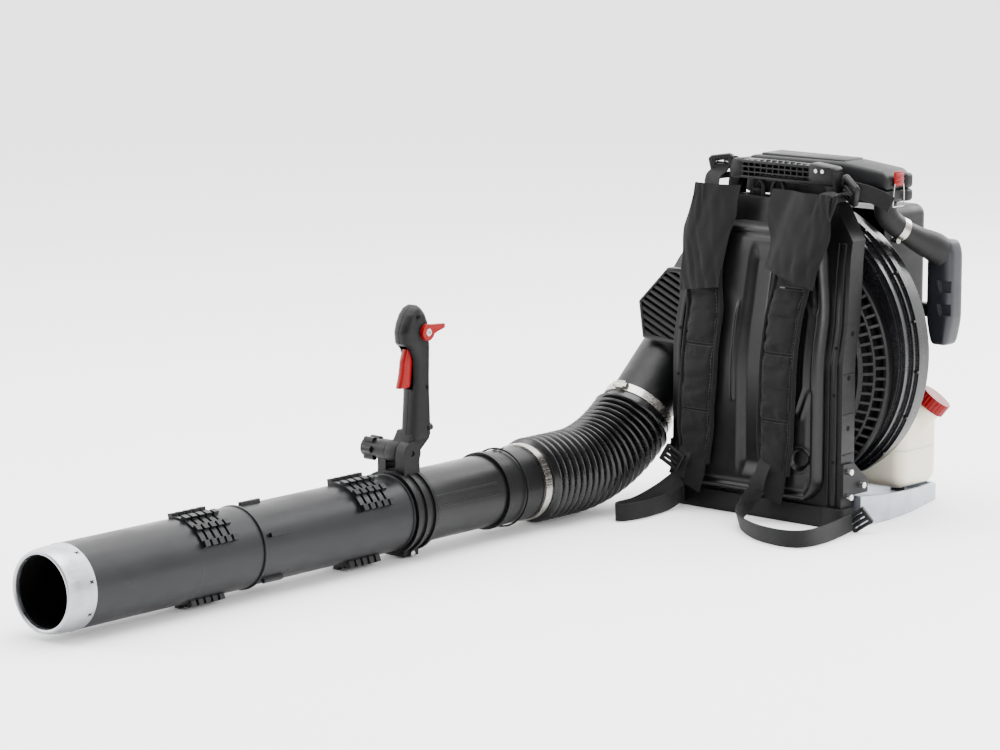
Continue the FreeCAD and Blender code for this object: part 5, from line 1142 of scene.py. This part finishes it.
def buckles():
    """The four buckles at the places of their CAD rings, each turned with its strap."""
    places = sorted(((low + high) / 2 for low, high in islands("strap_buckles")), key=lambda place: place.z)
    made = bmesh.new()
    leans = ((0.25, -0.6, 0.2), (-0.1, 0.5, 0.1), (0.25, 0.55, -0.3), (0.2, -0.15, 0.3))
    for rank, (centre, (tilt_x, tilt_y, tilt_z)) in enumerate(zip(places, leans)):
        turn = (Matrix.Translation(centre) @ Matrix.Rotation(tilt_z, 4, "Z") @ Matrix.Rotation(tilt_y, 4, "Y")
                @ Matrix.Rotation(tilt_x, 4, "X"))
        if rank < 2:
            buckle(made, turn, 0.036, 0.028, 0.0085, bars=2)
        else:
            buckle(made, turn, 0.040, 0.034, 0.0105, bars=1, heavy=1.75)
    from_bmesh("harness_buckles", made, "black_plastic", "pack", replaces=("strap_buckles",))
    return places


def upper_webbing(places):
    """The straps from the shoulder pads' tops through the two upper buckles to the handle and the box."""
    upper = sorted(places[2:], key=lambda place: place.x)
    runs = {"right": (Vector((1, 0, 0.2)), (mm(-2, 4, 8), mm(8, 12, 8), mm(20, 18, 2))),
            "left": (Vector((0.42, 0, 0.9)), (mm(3, 3, 1), mm(20, 14, -4), mm(36, 24, -11), mm(53, 30, -20)))}
    for side, place, strap in (("right", upper[0], STRAPS["right"]), ("left", upper[1], STRAPS["left"])):
        top = Vector((strap.x(STRAP_TOP), strap.back(STRAP_TOP) - 0.008, STRAP_TOP - 0.012))
        out = -1 if side == "right" else 1
        across = Vector((1, 0, 0.15 * out))
        stations = [(top + Vector((0, -0.001, -0.03)), Vector((1, 0, 0))), (top, Vector((1, 0, 0))),
                    ((top + place) / 2 + Vector((0.004 * out, -0.005, 0.004)), across),
                    (place + Vector((0, -0.006, -0.004)), across), (place + Vector((0, 0.002, 0.006)), across)]
        band("upper_webbing_" + side, stations, WEB_WIDE, WEB_THICK, "webbing", "pack")
        direction, shifts = runs[side]
        band("anchor_webbing_" + side, [(place + shift, direction) for shift in shifts], WEB_WIDE, WEB_THICK,
             "webbing", "pack")
        made = bmesh.new()
        for row in range(5):
            z = top.z - 0.022 + row * 0.0045
            for column in range(7):
                x = top.x - 0.010 + column * 0.0033
                rod(made, (x, top.y - 0.0026, z), (x + 0.0022, top.y - 0.0026, z), 0.0004, 6)
        from_bmesh("upper_stitching_" + side, made, "thread_black", "pack")


def strap_tails():
    """The lower ends of the shoulder straps: a folded tongue and the ladder lock's short webbing."""
    for side, strap in STRAPS.items():
        z = STRAP_LOW
        x, y = strap.x(z), strap.back(z) - 0.008
        lean = -0.012 if side == "left" else -0.016
        stations = [((x, y, z + 0.03), (1, 0, 0)), ((x, y - 0.002, z), (1, 0, 0)),
                    ((x + lean * 0.5, y + 0.001, z - 0.02), (1, 0, 0)), ((x + lean, y + 0.004, 0.036), (1, 0, 0))]
        band("strap_tail_" + side, stations, 0.044, 0.004, "strap_fabric", "pack", edge=0.6)
        stations = [((x - 0.012, y - 0.004, z + 0.02), (1, 0, 0.1)),
                    ((x - 0.018, y - 0.010, z - 0.002), (1, 0, 0.2)),
                    ((x - 0.026, y - 0.012, z - 0.022), (0.8, 0.4, 0.3))]
        band("lock_webbing_" + side, stations, 0.024, WEB_THICK, "webbing", "pack")


def corner_strap():
    """The webbing that wraps the back frame's two lower front corners."""
    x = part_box("back_frame")[1].x
    for side in (-1, 1):
        edge = side * (x + 0.0022)
        places = ((edge - side * 0.030, -0.0062, 0.019), (edge - side * 0.008, -0.0062, 0.018),
                  (edge, -0.001, 0.018), (edge + side * 0.001, 0.010, 0.018), (edge + side * 0.001, 0.026, 0.018))
        stations = [(place, (0, 0, 1)) for place in places]
        word = "left" if side > 0 else "right"
        band("corner_webbing_" + word, stations, WEB_WIDE, 0.003, "webbing", "pack")


# ---------------------------------------------------------------- carrying handle

def carry_handle():
    """The arched beam with three rows of small windows, its end blocks, legs and two hanging hooks."""
    low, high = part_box("carry_handle")
    half = 0.094
    y0, y1 = low.y, high.y
    beam_low, beam_high = high.z - 0.028, high.z
    made = bmesh.new()
    columns, rows = 11, 3
    left, right = -half + 0.020, half - 0.044
    for row in range(rows + 1):
        z = beam_low + 0.0015 + (beam_high - beam_low - 0.0045) * row / rows
        thick = 0.0013 if 0 < row < rows else 0.0022
        block(made, (-half + 0.004, y0, z - thick), (half - 0.004, y0 + 0.012, z + thick), 0.0008, 2)
    for column in range(columns + 1):
        x = left + (right - left) * column / columns
        block(made, (x - 0.0012, y0 + 0.001, beam_low + 0.001),
              (x + 0.0012, y0 + 0.011, beam_high - 0.003), 0.0006, 1)
    block(made, (-half, y0 + 0.008, beam_low), (half, y1, beam_high), 0.004, 3)
    block(made, (-half - 0.002, y0 - 0.0005, beam_low - 0.002), (left + 0.001, y1, beam_high), 0.005, 3)
    block(made, (right - 0.001, y0 - 0.0005, beam_low - 0.002), (half + 0.002, y1, beam_high), 0.005, 3)
    for side in (-1, 1):
        outline = [(side * (half + 0.002), beam_high - 0.008), (side * (half - 0.018), beam_low + 0.004),
                   (side * (half - 0.011), 0.492), (side * (half - 0.010), 0.4745),
                   (side * (half + 0.0076), 0.4745),
                   (side * (half + 0.006), 0.492)]
        plate(made, outline, y0 + 0.001, y1 - 0.001)
    for vertex in made.verts:
        if vertex.co.z > 0.50:
            vertex.co.z -= 0.006 * (vertex.co.x / half) ** 2
    piece = from_bmesh("handle_beam", made, "black_plastic", "pack", replaces=("carry_handle",))
    rounded(piece, 0.0012, 2)
    made = bmesh.new()
    for x in (-0.052, -0.014):
        count = 18
        for index in range(count):
            a0, a1 = math.pi * index / count, math.pi * (index + 1) / count
            start = Vector((x + 0.011 * math.cos(a0), 0.068, 0.486 + 0.013 * math.sin(a0)))
            end = Vector((x + 0.011 * math.cos(a1), 0.068, 0.486 + 0.013 * math.sin(a1)))
            rod(made, start, end, 0.0032, 12)
        for side in (-1, 1):
            rod(made, (x + side * 0.011, 0.068, 0.488), (x + side * 0.011, 0.066, 0.472), 0.0034, 12)
        block(made, (x - 0.0085, 0.0655, 0.472), (x + 0.0085, 0.0695, 0.484), 0.001, 2)
    from_bmesh("harness_hooks", made, "black_plastic", "pack")


def frame_dressing():
    """Raised side rails, ribs and rows of holes moulded on the back frame; the holes are thin dark discs, a painted
    shade.
    """
    made = bmesh.new()
    for side in (-1, 1):
        for inner, outer, proud in ((0.141, 0.150, 0.0032), (0.133, 0.1365, 0.0022)):
            line = [(0.034, 0.0), (0.12, 0.0), (0.20, 0.0), (0.24, 0.0), (0.28, 0.0),
                    (0.30, 0.0), (0.34, 0.004), (0.38, 0.008), (0.42, 0.0115)]
            cross = []
            for z, shift in line:
                y = lean_y(z)
                a, b = side * (inner - shift), side * (outer - shift)
                cross.append([made.verts.new((a, y + 0.0004, z)), made.verts.new((a + side * 0.001, y - proud, z)),
                              made.verts.new((b - side * 0.001, y - proud, z)), made.verts.new((b, y + 0.0004, z))])
            for before, after in zip(cross, cross[1:]):
                for index in range(4):
                    following = (index + 1) % 4
                    made.faces.new((before[index], before[following], after[following], after[index]))
            made.faces.new(cross[0])
            made.faces.new(list(reversed(cross[-1])))
    piece = from_bmesh("frame_rails", made, "black_plastic", "pack")
    rounded(piece, 0.0006, 2)
    # The holes are thin void_black discs on the surface: painted shade of the holes.
    made = bmesh.new()
    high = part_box("back_frame")[1]
    for side in (-1, 1):
        for z in (0.075, 0.15, 0.225, 0.29):
            spot = Vector((side * (high.x + 0.0001), lean_y(z) + 0.016, z))
            rod(made, spot, spot - Vector((side * 0.0004, 0, 0)), 0.0042, 20)
        for z in (0.10, 0.20, 0.27):
            spot = Vector((side * 0.1455, lean_y(z) - 0.0034, z))
            rod(made, spot, spot + Vector((0, 0.0006, 0)), 0.0028, 16)
    from_bmesh("frame_holes", made, "void_black", "pack")
    made = bmesh.new()
    for side in (-1, 1):
        for z in (0.05, 0.11, 0.17, 0.23):
            low_x = high.x - 0.0005
            a, b = sorted((side * low_x, side * (low_x + 0.0016)))
            block(made, (a, 0.004, z), (b, 0.029, z + 0.002), 0.0005, 1)
    from_bmesh("frame_side_ribs", made, "black_plastic", "pack")


# ---------------------------------------------------------------- air cleaner, duct and pod

HINGE_REACH = 0.0073
LID_SPLIT = 0.4943
HINGE_HEIGHT = 0.494


def air_box():
    """The air cleaner's two shells with soft edges, a raised top panel, a rounded end and the lid's hinge."""
    low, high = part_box("air_cleaner_lid")
    case_low, case_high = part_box("air_cleaner_case")
    left, right, top, split = low.x + HINGE_REACH, high.x, high.z, LID_SPLIT
    made = bmesh.new()
    outline = [(left, split), (left, top - 0.010), (left + 0.010, top - 0.001), (0.085, top), (0.155, top - 0.008),
               (right, top - 0.019), (right, split)]
    plate(made, outline, low.y, high.y)
    lid = from_bmesh("air_box_lid", made, "box_charcoal", None)
    rounded(lid, 0.006, 5, 20)
    made = bmesh.new()
    block(made, (left + 0.022, low.y + 0.012, top - 0.006), (0.080, high.y - 0.004, top + 0.0022), 0.002, 3)
    carve(lid, loose("panel", made), "UNION")
    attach(lid, "lid")
    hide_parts("air_cleaner_lid")
    made = bmesh.new()
    shape = [(left, case_low.z + 0.004), (left + 0.006, case_low.z), (right - 0.008, case_low.z),
             (right, case_low.z + 0.006), (right, split - 0.0004), (left, split - 0.0004)]
    plate(made, shape, case_low.y, case_high.y)
    case = from_bmesh("air_box_case", made, "box_charcoal", "pack", replaces=("air_cleaner_case",))
    rounded(case, 0.0025, 3, 20)
    for name, body, start, end in (("air_box_end_upper", "lid", split + 0.0002, top - 0.014),
                                   ("air_box_end_lower", "pack", case_low.z + 0.001, split - 0.0006)):
        made = bmesh.new()
        block(made, (right - 0.020, high.y - 0.019, start), (right + 0.0035, high.y + 0.0012, end), 0.0055, 5)
        from_bmesh(name, made, "box_charcoal", body)
    middle_y = (low.y + high.y) / 2
    axis = Vector((left - 0.0038, middle_y, HINGE_HEIGHT))
    made = bmesh.new()
    rod(made, axis - Vector((0, 0.0213, 0)), axis + Vector((0, 0.0213, 0)), 0.0015, 16)
    rod(made, axis - Vector((0, 0.007, 0)), axis + Vector((0, 0.007, 0)), 0.0035, 24)
    block(made, (axis.x, middle_y - 0.007, axis.z - 0.0035),
          (left + 0.001, middle_y + 0.007, axis.z - 0.0004), 0.0004, 1)
    from_bmesh("lid_hinge_case", made, "box_charcoal", "pack")
    made = bmesh.new()
    for start in (middle_y - 0.0213, middle_y + 0.0073):
        rod(made, (axis.x, start, axis.z), (axis.x, start + 0.014, axis.z), 0.0035, 24)
        block(made, (axis.x, start, axis.z + 0.0004), (left + 0.001, start + 0.014, axis.z + 0.0035), 0.0004, 1)
    from_bmesh("lid_hinge_lid", made, "box_charcoal", "lid")


def latch():
    """The red latch tab with grip ribs, and its sprung wire bail."""
    low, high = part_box("latch_bail")
    centre = (low + high) / 2
    base = low.x + 0.0003
    foot = high.z - 0.022
    made = bmesh.new()
    for rise, proud in ((0.0035, 0.0040), (0.0095, 0.0046), (0.0155, 0.0042)):
        block(made, (base, centre.y - 0.0105, foot + rise - 0.001),
              (base + proud, centre.y + 0.0105, foot + rise + 0.0034), 0.0012, 2)
    block(made, (base, centre.y - 0.0112, foot), (base + 0.0028, centre.y + 0.0112, high.z), 0.0012, 2)
    from_bmesh("latch_tab", made, "red_plastic", "latch", replaces=("latch_bail",))
    made = bmesh.new()
    for side in (-1, 1):
        path = [Vector((base + out, centre.y + side * wide, z)) for out, wide, z in (
            (0.0013, 0.0135, low.z + 0.0015), (0.0016, 0.0138, low.z + 0.012), (0.0020, 0.0130, foot - 0.008),
            (0.0022, 0.0105, foot + 0.004))]
        for start, end in zip(path, path[1:]):
            rod(made, start, end, 0.0011, 10)
    rod(made, (base + 0.0013, centre.y - 0.0135, low.z + 0.0016),
        (base + 0.0013, centre.y + 0.0135, low.z + 0.0016),
        0.0011, 10)
    from_bmesh("latch_wire", made, "steel", "latch")


def intake_duct():
    """The rubber boot from the box down to the pod, widening below its clamp."""
    top = Vector((0.142, 0.124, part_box("intake_duct")[1].z))
    knots = [top, top + mm(0, 0, -13), top + mm(2.6, 6.5, -25), top + mm(9.5, 23, -40), top + mm(22, 56, -60),
             top + mm(33, 84, -74), top + mm(38, 101, -88)]
    line = smooth_line(knots, 10)
    radii = []
    for index in range(len(line)):
        share = index / (len(line) - 1)
        radius = 0.0169 + 0.0056 * ease(0.52, 0.85, share)
        if 0.16 < share < 0.34:
            radius += 0.0006 * math.sin((share - 0.16) / 0.18 * math.pi * 4) ** 2
        radii.append(radius)
    points, faces = lathe_path(line, radii, 48)
    new_piece("intake_elbow", points, faces, "mount_rubber", "pack", sharp=60, replaces=("intake_duct",))


POD_WIDE = 0.046


def intake_pod():
    """The rounded resonator pod with two trapezoid pockets on its outer side."""
    low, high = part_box("intake_pod")
    stay_end = low.x
    low = Vector((high.x - POD_WIDE, low.y, low.z))
    made = bmesh.new()
    block(made, low, high, 0.0)
    piece = from_bmesh("intake_resonator", made, "pod_grey", None)
    grid = piece.modifiers.new("even", "SUBSURF")
    grid.subdivision_type = "SIMPLE"
    grid.levels = grid.render_levels = 5
    settle(piece)
    centre, half = (low + high) / 2, (high - low) / 2
    for vertex in piece.data.vertices:
        place = [(vertex.co[axis] - centre[axis]) / half[axis] for axis in range(3)]
        flat = (abs(place[0]) ** 4 + abs(place[1]) ** 4) ** (1 / 4)
        tall = (flat ** 8 + abs(place[2]) ** 8) ** 0.125
        if tall > 0:
            top = max(abs(place[0]), abs(place[1]), abs(place[2]))
            shrink = top / tall
            for axis in range(3):
                vertex.co[axis] = centre[axis] + place[axis] * half[axis] * shrink
        rise = (vertex.co.z - low.z) / (high.z - low.z)
        squeeze = 1 - 0.28 * (1 - ease(0.0, 0.30, rise)) - 0.12 * ease(0.85, 1.0, rise)
        vertex.co.x = centre.x + (vertex.co.x - centre.x) * squeeze
    for level in (0.34, 0.56):
        z = low.z + (high.z - low.z) * level
        made = bmesh.new()
        outline = [(centre.x + 0.006, z - 0.008), (centre.x + 0.030, z - 0.008), (centre.x + 0.030, z + 0.010),
                   (centre.x + 0.001, z + 0.010)]
        plate(made, outline, low.y - 0.004, low.y + 0.0065)
        carve(piece, loose("pocket", made))
    rounded(piece, 0.0012, 2, 35)
    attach(piece, "pack")
    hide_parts("intake_pod")
    made = bmesh.new()
    block(made, (stay_end, centre.y - 0.010, low.z + 0.040),
          (centre.x - 0.012, centre.y + 0.010, low.z + 0.060), 0.003, 3)
    from_bmesh("resonator_stay", made, "pod_grey", "pack")


# ---------------------------------------------------------------- grip

def finer(stations, steps_between):
    """Stations with more put in evenly between them."""
    fine = []
    for first, second in zip(stations, stations[1:]):
        steps = steps_between(first, second)
        fine += [[a + (b - a) * step / steps for a, b in zip(first, second)] for step in range(steps)]
    return fine + [list(stations[-1])]


def grip_form():
    """Stations up the grip: (height, front, rear, half width), from its base to its domed head."""
    low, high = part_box("grip_left_shell")
    base, top = low.z, high.z
    front, rear = low.y, high.y
    return [
        (base, front + 0.016, rear - 0.002, 0.0165),
        (base + 0.006, front + 0.0155, rear, 0.018),
        (base + 0.03, front + 0.0175, rear - 0.001, 0.018),
        (base + 0.06, front + 0.020, rear - 0.003, 0.0178),
        (base + 0.09, front + 0.0205, rear - 0.0035, 0.0178),
        (base + 0.115, front + 0.020, rear - 0.003, 0.018),
        (base + 0.131, front + 0.012, rear - 0.002, 0.0185),
        (base + 0.140, front + 0.002, rear - 0.002, 0.0188),
        (base + 0.155, front, rear - 0.003, 0.0188),
        (base + 0.168, front + 0.004, rear - 0.006, 0.0186),
        (base + 0.180, front + 0.011, rear - 0.012, 0.0172),
        (base + 0.188, front + 0.019, rear - 0.019, 0.0145),
        (top - 0.001, front + 0.027, rear - 0.025, 0.008),
    ]


def grip():
    """The grip's two halves as one soft form, cut along the parting line and for the trigger."""
    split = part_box("grip_left_shell")[0].x
    fine = finer(grip_form(), lambda first, second: max(int((second[0] - first[0]) / 0.002), 2))
    around = 40
    for side, word in ((-1, "right"), (1, "left")):
        points, faces = [], []
        for z, front, rear, half in fine:
            for step in range(around + 1):
                angle = math.pi * step / around
                across, along = math.sin(angle), math.cos(angle)
                across = abs(across) ** 0.75
                along = math.copysign(abs(along) ** 0.85, along)
                y = (front + rear) / 2 - along * (rear - front) / 2
                points.append(Vector((split + side * (0.0003 + across * half), y, z)))
        row = around + 1
        for level in range(len(fine) - 1):
            for step in range(around):
                first = level * row + step
                faces.append((first, first + 1, first + 1 + row, first + row))
            faces.append((level * row, (level + 1) * row, (level + 1) * row + around, level * row + around))
        faces.append(tuple(range(row)))
        faces.append(tuple(reversed(range((len(fine) - 1) * row, len(fine) * row))))
        made = bmesh.new()
        mesh = bpy.data.meshes.new("half")
        mesh.from_pydata([tuple(point) for point in points], [], faces)
        made.from_mesh(mesh)
        bpy.data.meshes.remove(mesh)
        piece = from_bmesh("grip_half_" + word, made, "grip_charcoal", None)
        trigger_low, trigger_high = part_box("throttle_trigger")
        made = bmesh.new()
        block(made, (split - 0.0078, trigger_low.y - 0.02, trigger_low.z - 0.003),
              (split + 0.0078, trigger_high.y + 0.013, trigger_high.z + 0.004), 0.001, 2)
        carve(piece, loose("slot", made))
        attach(piece, "grip")
        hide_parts("grip_left_shell" if side > 0 else "grip_right_shell")
    grip_details(split)


GRIP_PIVOT = Vector((0, -0.546, 0.149))


def grip_details(split):
    """The pivot ear, the neck that joins it to the grip, and the assembly screws."""
    pivot = GRIP_PIVOT
    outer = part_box("grip_right_shell")[0].x
    made = bmesh.new()
    rod(made, (outer, pivot.y, pivot.z), (outer + 0.022, pivot.y, pivot.z), 0.0165, 48)
    outline = [(pivot.y - 0.010, pivot.z + 0.008), (pivot.y + 0.016, pivot.z - 0.002), (-0.506, 0.166),
               (-0.505, 0.180), (-0.541, 0.180)]
    plate(made, outline, outer + 0.006, split + 0.010, "YZ")
    piece = from_bmesh("grip_neck", made, "grip_charcoal", "grip")
    rounded(piece, 0.0016, 3, 35)
    low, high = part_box("grip_left_shell")
    # The screws are dark void_black discs: painted shade in their recesses.
    made = bmesh.new()
    for y, z in ((high.y - 0.014, low.z + 0.016), (high.y - 0.016, low.z + 0.075), (high.y - 0.034, low.z + 0.178)):
        spot = Vector((split + 0.0172, y, z))
        rod(made, spot, spot + Vector((0.0016, 0, 0)), 0.0032, 20)
    from_bmesh("grip_screws", made, "void_black", "grip")


def trigger():
    """The red throttle trigger, hollowed for a finger."""
    low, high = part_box("throttle_trigger")
    centre = (low.x + high.x) / 2
    stations = [(high.z - 0.001, -0.548, -0.535, 0.0058), (high.z - 0.008, -0.551, -0.534, 0.0066),
                (high.z - 0.018, -0.5545, -0.535, 0.0068), (high.z - 0.030, -0.556, -0.537, 0.0068),
                (high.z - 0.042, -0.5585, -0.5385, 0.0068), (high.z - 0.051, -0.5615, -0.5395, 0.0068),
                (low.z + 0.001, -0.5635, -0.541, 0.0060)]
    fine = finer(stations, lambda first, second: 6)
    around = 28
    points, faces = [], []
    for z, front, rear, half in fine:
        for step in range(around):
            angle = 2 * math.pi * step / around
            across, along = math.sin(angle), math.cos(angle)
            across = math.copysign(abs(across) ** 0.6, across)
            along = math.copysign(abs(along) ** 0.6, along)
            points.append(Vector((centre + across * half, (front + rear) / 2 - along * (rear - front) / 2, z)))
    for level in range(len(fine) - 1):
        for step in range(around):
            after = (step + 1) % around
            faces.append((level * around + step, (level + 1) * around + step,
                          (level + 1) * around + after, level * around + after))
    faces.append(tuple(reversed(range(around))))
    faces.append(tuple(range((len(fine) - 1) * around, len(fine) * around)))
    new_piece("trigger_blade", points, faces, "red_plastic", "trigger", sharp=50, replaces=("throttle_trigger",))


def lever_ring():
    """The washer and cross slot at the middle of the cruise lever."""
    low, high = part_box("lever_screw")
    centre = (low + high) / 2
    made = bmesh.new()
    rod(made, (low.x - 0.0002, centre.y, centre.z), (low.x + 0.0006, centre.y, centre.z), 0.0052, 32)
    from_bmesh("lever_washer", made, "zinc_screw", "cruise")
    # The cross slot is two thin void_black bars on the screw head: painted shade in the slot.
    made = bmesh.new()
    for turn in (0.6, 0.6 + math.pi / 2):
        matrix = Matrix.Translation((high.x + 0.0001, centre.y, centre.z)) @ Matrix.Rotation(turn, 4, "X")
        block(made, (-0.0002, -0.0022, -0.0004), (0.0002, 0.0022, 0.0004), 0, 1, matrix)
    from_bmesh("lever_slot", made, "void_black", "cruise")


# ---------------------------------------------------------------- fuel tank

def fuel_tank():
    """The milky tank with soft corners, a moulded seam and its slanting neck."""
    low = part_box("fuel_tank")[0]
    body_high = Vector((0.152, 0.262, 0.150))
    made = bmesh.new()
    block(made, (low.x, low.y, low.z), tuple(body_high), 0.020, 6)
    piece = from_bmesh("fuel_tank_shell", made, "tank_cream", None)
    cap = middle("fuel_cap")
    foot = Vector((0.126, 0.219, 0.120))
    made = bmesh.new()
    aim = (cap - foot).normalized()
    rod(made, foot, cap - aim * 0.004, 0.026, 40, 0.0195)
    carve(piece, loose("neck", made), "UNION")
    rounded(piece, 0.004, 3, 25)
    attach(piece, "pack")
    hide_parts("fuel_tank")
    made = bmesh.new()
    level = (low.z + body_high.z) / 2
    block(made, (low.x - 0.0006, low.y - 0.0006, level - 0.001),
          (body_high.x + 0.0006, body_high.y + 0.0006, level + 0.001), 0.0, 1)
    seam = from_bmesh("fuel_tank_seam", made, "tank_cream", None)
    made = bmesh.new()
    block(made, (low.x - 0.0006, low.y - 0.0006, low.z),
          (body_high.x + 0.0006, body_high.y + 0.0006, body_high.z), 0.020, 6)
    carve(seam, loose("round", made), "INTERSECT")
    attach(seam, "pack")


# ---------------------------------------------------------------- fan housing and guards

FAN_CENTRE = Vector((0, 0, 0.228))
GUARD_REACH = math.radians(155)


def scroll_radius_at(angle, tree, y):
    """The volute's outer radius in a direction, found on the CAD shell."""
    direction = Vector((math.cos(angle), 0, math.sin(angle)))
    centre = Vector((0, y, FAN_CENTRE.z))
    found = tree.ray_cast(centre + direction * 0.4, -direction)
    return None if found[0] is None else (found[0] - centre).length


def housing_bolts():
    """The small bolts round the volute's bolted rim."""
    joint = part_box("fan_housing_front")[1].y
    tree = tree_of("fan_housing_front")
    made = bmesh.new()
    for degrees in range(-40, 140, 20):
        wall = scroll_radius_at(math.radians(degrees), tree, joint - 0.002)
        if wall is None:
            continue
        x = math.cos(math.radians(degrees)) * (wall - 0.0022)
        z = FAN_CENTRE.z + math.sin(math.radians(degrees)) * (wall - 0.0022)
        rod(made, (x, joint - 0.0085, z), (x, joint - 0.004, z), 0.0026, 6)
    from_bmesh("housing_bolts", made, "gloss_black", "pack")


def hoop(made, profile, steps=120):
    """Adds an open hoop round the fan's axis to a bmesh, from (place along Y, radius) corners."""
    rings = []
    for step in range(steps + 1):
        angle = GUARD_REACH * (2 * step / steps - 1)
        rings.append([made.verts.new((radius * math.cos(angle), y, FAN_CENTRE.z + radius * math.sin(angle)))
                      for y, radius in profile])
    count = len(profile)
    for before, after in zip(rings, rings[1:]):
        for index in range(count):
            following = (index + 1) % count
            made.faces.new((before[index], before[following], after[following], after[index]))
    made.faces.new(rings[0])
    made.faces.new(list(reversed(rings[-1])))


def inlet_guard():
    """The inlet guard: hoops joined by two rows of close slats on a cone, with darkness behind."""
    low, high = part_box("intake_guard")
    front, rear = low.y, high.y
    small, large = 0.160, high.x
    made = bmesh.new()
    shoulder = rear - 0.010

    def radius_at(y):
        return small + (large - small) * min((y - front) / (shoulder - front), 1.0)

    hoop(made, [(front, small - 0.004), (front, small), (front + 0.006, radius_at(front + 0.006)),
                (front + 0.006, radius_at(front + 0.006) - 0.004)])
    for place, width in ((front + 0.0185, 0.0028), (rear - 0.0135, 0.0035)):
        hoop(made, [(place, radius_at(place) - 0.0045), (place, radius_at(place) + 0.0004),
                    (place + width, radius_at(place + width) + 0.0004),
                    (place + width, radius_at(place + width) - 0.0045)])
    hoop(made, [(shoulder, large - 0.0035), (shoulder, large), (rear, large), (rear, large - 0.0035)])
    count = 62
    for row, (start, end) in enumerate(((front + 0.004, front + 0.020), (front + 0.019, shoulder + 0.001))):
        for index in range(count):
            angle = GUARD_REACH * (2 * (index + 0.5 * row) / count - 1)
            if abs(angle) > GUARD_REACH:
                continue
            slope = math.atan2(radius_at(end) - radius_at(start), end - start)
            length = math.hypot(radius_at(end) - radius_at(start), end - start)
            turn = (Matrix.Translation(FAN_CENTRE) @ Matrix.Rotation(-angle, 4, "Y")
                    @ Matrix.Translation(Vector((radius_at(start), start, 0))) @ Matrix.Rotation(-slope, 4, "Z"))
            block(made, (-0.0040, 0, -0.0023), (0.0002, length, 0.0023), 0.0006, 1, turn)
    from_bmesh("inlet_guard_slats", made, "black_plastic", "pack", replaces=("intake_guard",))
    made = bmesh.new()
    hoop(made, [(front + 0.006, radius_at(front + 0.006) - 0.014),
                (front + 0.006, radius_at(front + 0.006) - 0.0125),
                (rear - 0.002, large - 0.0125), (rear - 0.002, large - 0.014)])
    from_bmesh("inlet_guard_shadow", made, "void_black", "pack")


def outlet_basket():
    """The guard beside the outlet: a dark basket of slanting slats in a rounded rim."""
    low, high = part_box("outlet_guard")
    outline = [(low.x + 0.008, low.z + 0.006), (high.x, low.z), (high.x, high.z), (low.x + 0.056, high.z),
               (low.x, low.z + 0.062)]
    centre = Vector((sum(x for x, _ in outline) / 5, 0, sum(z for _, z in outline) / 5))

    def drawn_in(share):
        return [(centre.x + (x - centre.x) * share, centre.z + (z - centre.z) * share) for x, z in outline]

    made = bmesh.new()
    plate(made, outline, low.y, high.y)
    rim = from_bmesh("outlet_basket_rim", made, "black_plastic", None)
    made = bmesh.new()
    plate(made, drawn_in(0.88), low.y - 0.01, high.y - 0.004)
    carve(rim, loose("window", made))
    rounded(rim, 0.0015, 2)
    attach(rim, "pack")
    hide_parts("outlet_guard")
    made = bmesh.new()
    for index in range(-2, 13):
        spot = Vector((centre.x, 0, low.z + index * 0.0115))
        turn = Matrix.Translation(spot) @ Matrix.Rotation(0.42, 4, "Y")
        block(made, (-0.08, low.y + 0.0012, -0.0030), (0.08, low.y + 0.0062, 0.0030), 0.0014, 2, turn)
    slats = from_bmesh("outlet_basket_slats", made, "black_plastic", None)
    made = bmesh.new()
    plate(made, drawn_in(0.90), low.y, high.y)
    carve(slats, loose("bounds", made), "INTERSECT")
    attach(slats, "pack")


# ---------------------------------------------------------------- build

MATERIALS = all_materials()
MATERIALS["thread_black"] = plastic("thread_black", (0.012, 0.012, 0.012), (0.03, 0.03, 0.03), 0.6)
MATERIALS["thread_pale"] = plastic("thread_pale", (0.10, 0.10, 0.10), (0.16, 0.16, 0.16), 0.5)

# Each flap's lower edge, its slant, and how far its left and right wings pass the strap at its foot and its head.
FLAPS = {"left": (0.366, -0.013, ((0.020, 0.066), (0.012, 0.014))),
         "right": (0.338, 0.005, ((0.002, 0.002), (0.004, 0.030)))}


def build():
    """Makes every piece."""
    add_camera()
    add_stage()
    paint_frame(MATERIALS)
    wear_ring()
    pipe_rims()
    collar_ribs()
    bellows()
    starter_cord()
    back_pad()
    for strap in STRAPS.values():
        strap_body(strap)
        strap_trim(strap)
        low, slant, wings = FLAPS[strap.side]
        strap_flap(strap, low, slant, "strap_flap_" + strap.side, wings)
    strap_tails()
    lower_webbing()
    upper_webbing(buckles())
    corner_strap()
    carry_handle()
    frame_dressing()
    air_box()
    latch()
    intake_duct()
    intake_pod()
    grip()
    trigger()
    lever_ring()
    fuel_tank()
    housing_bolts()
    inlet_guard()
    outlet_basket()


build()
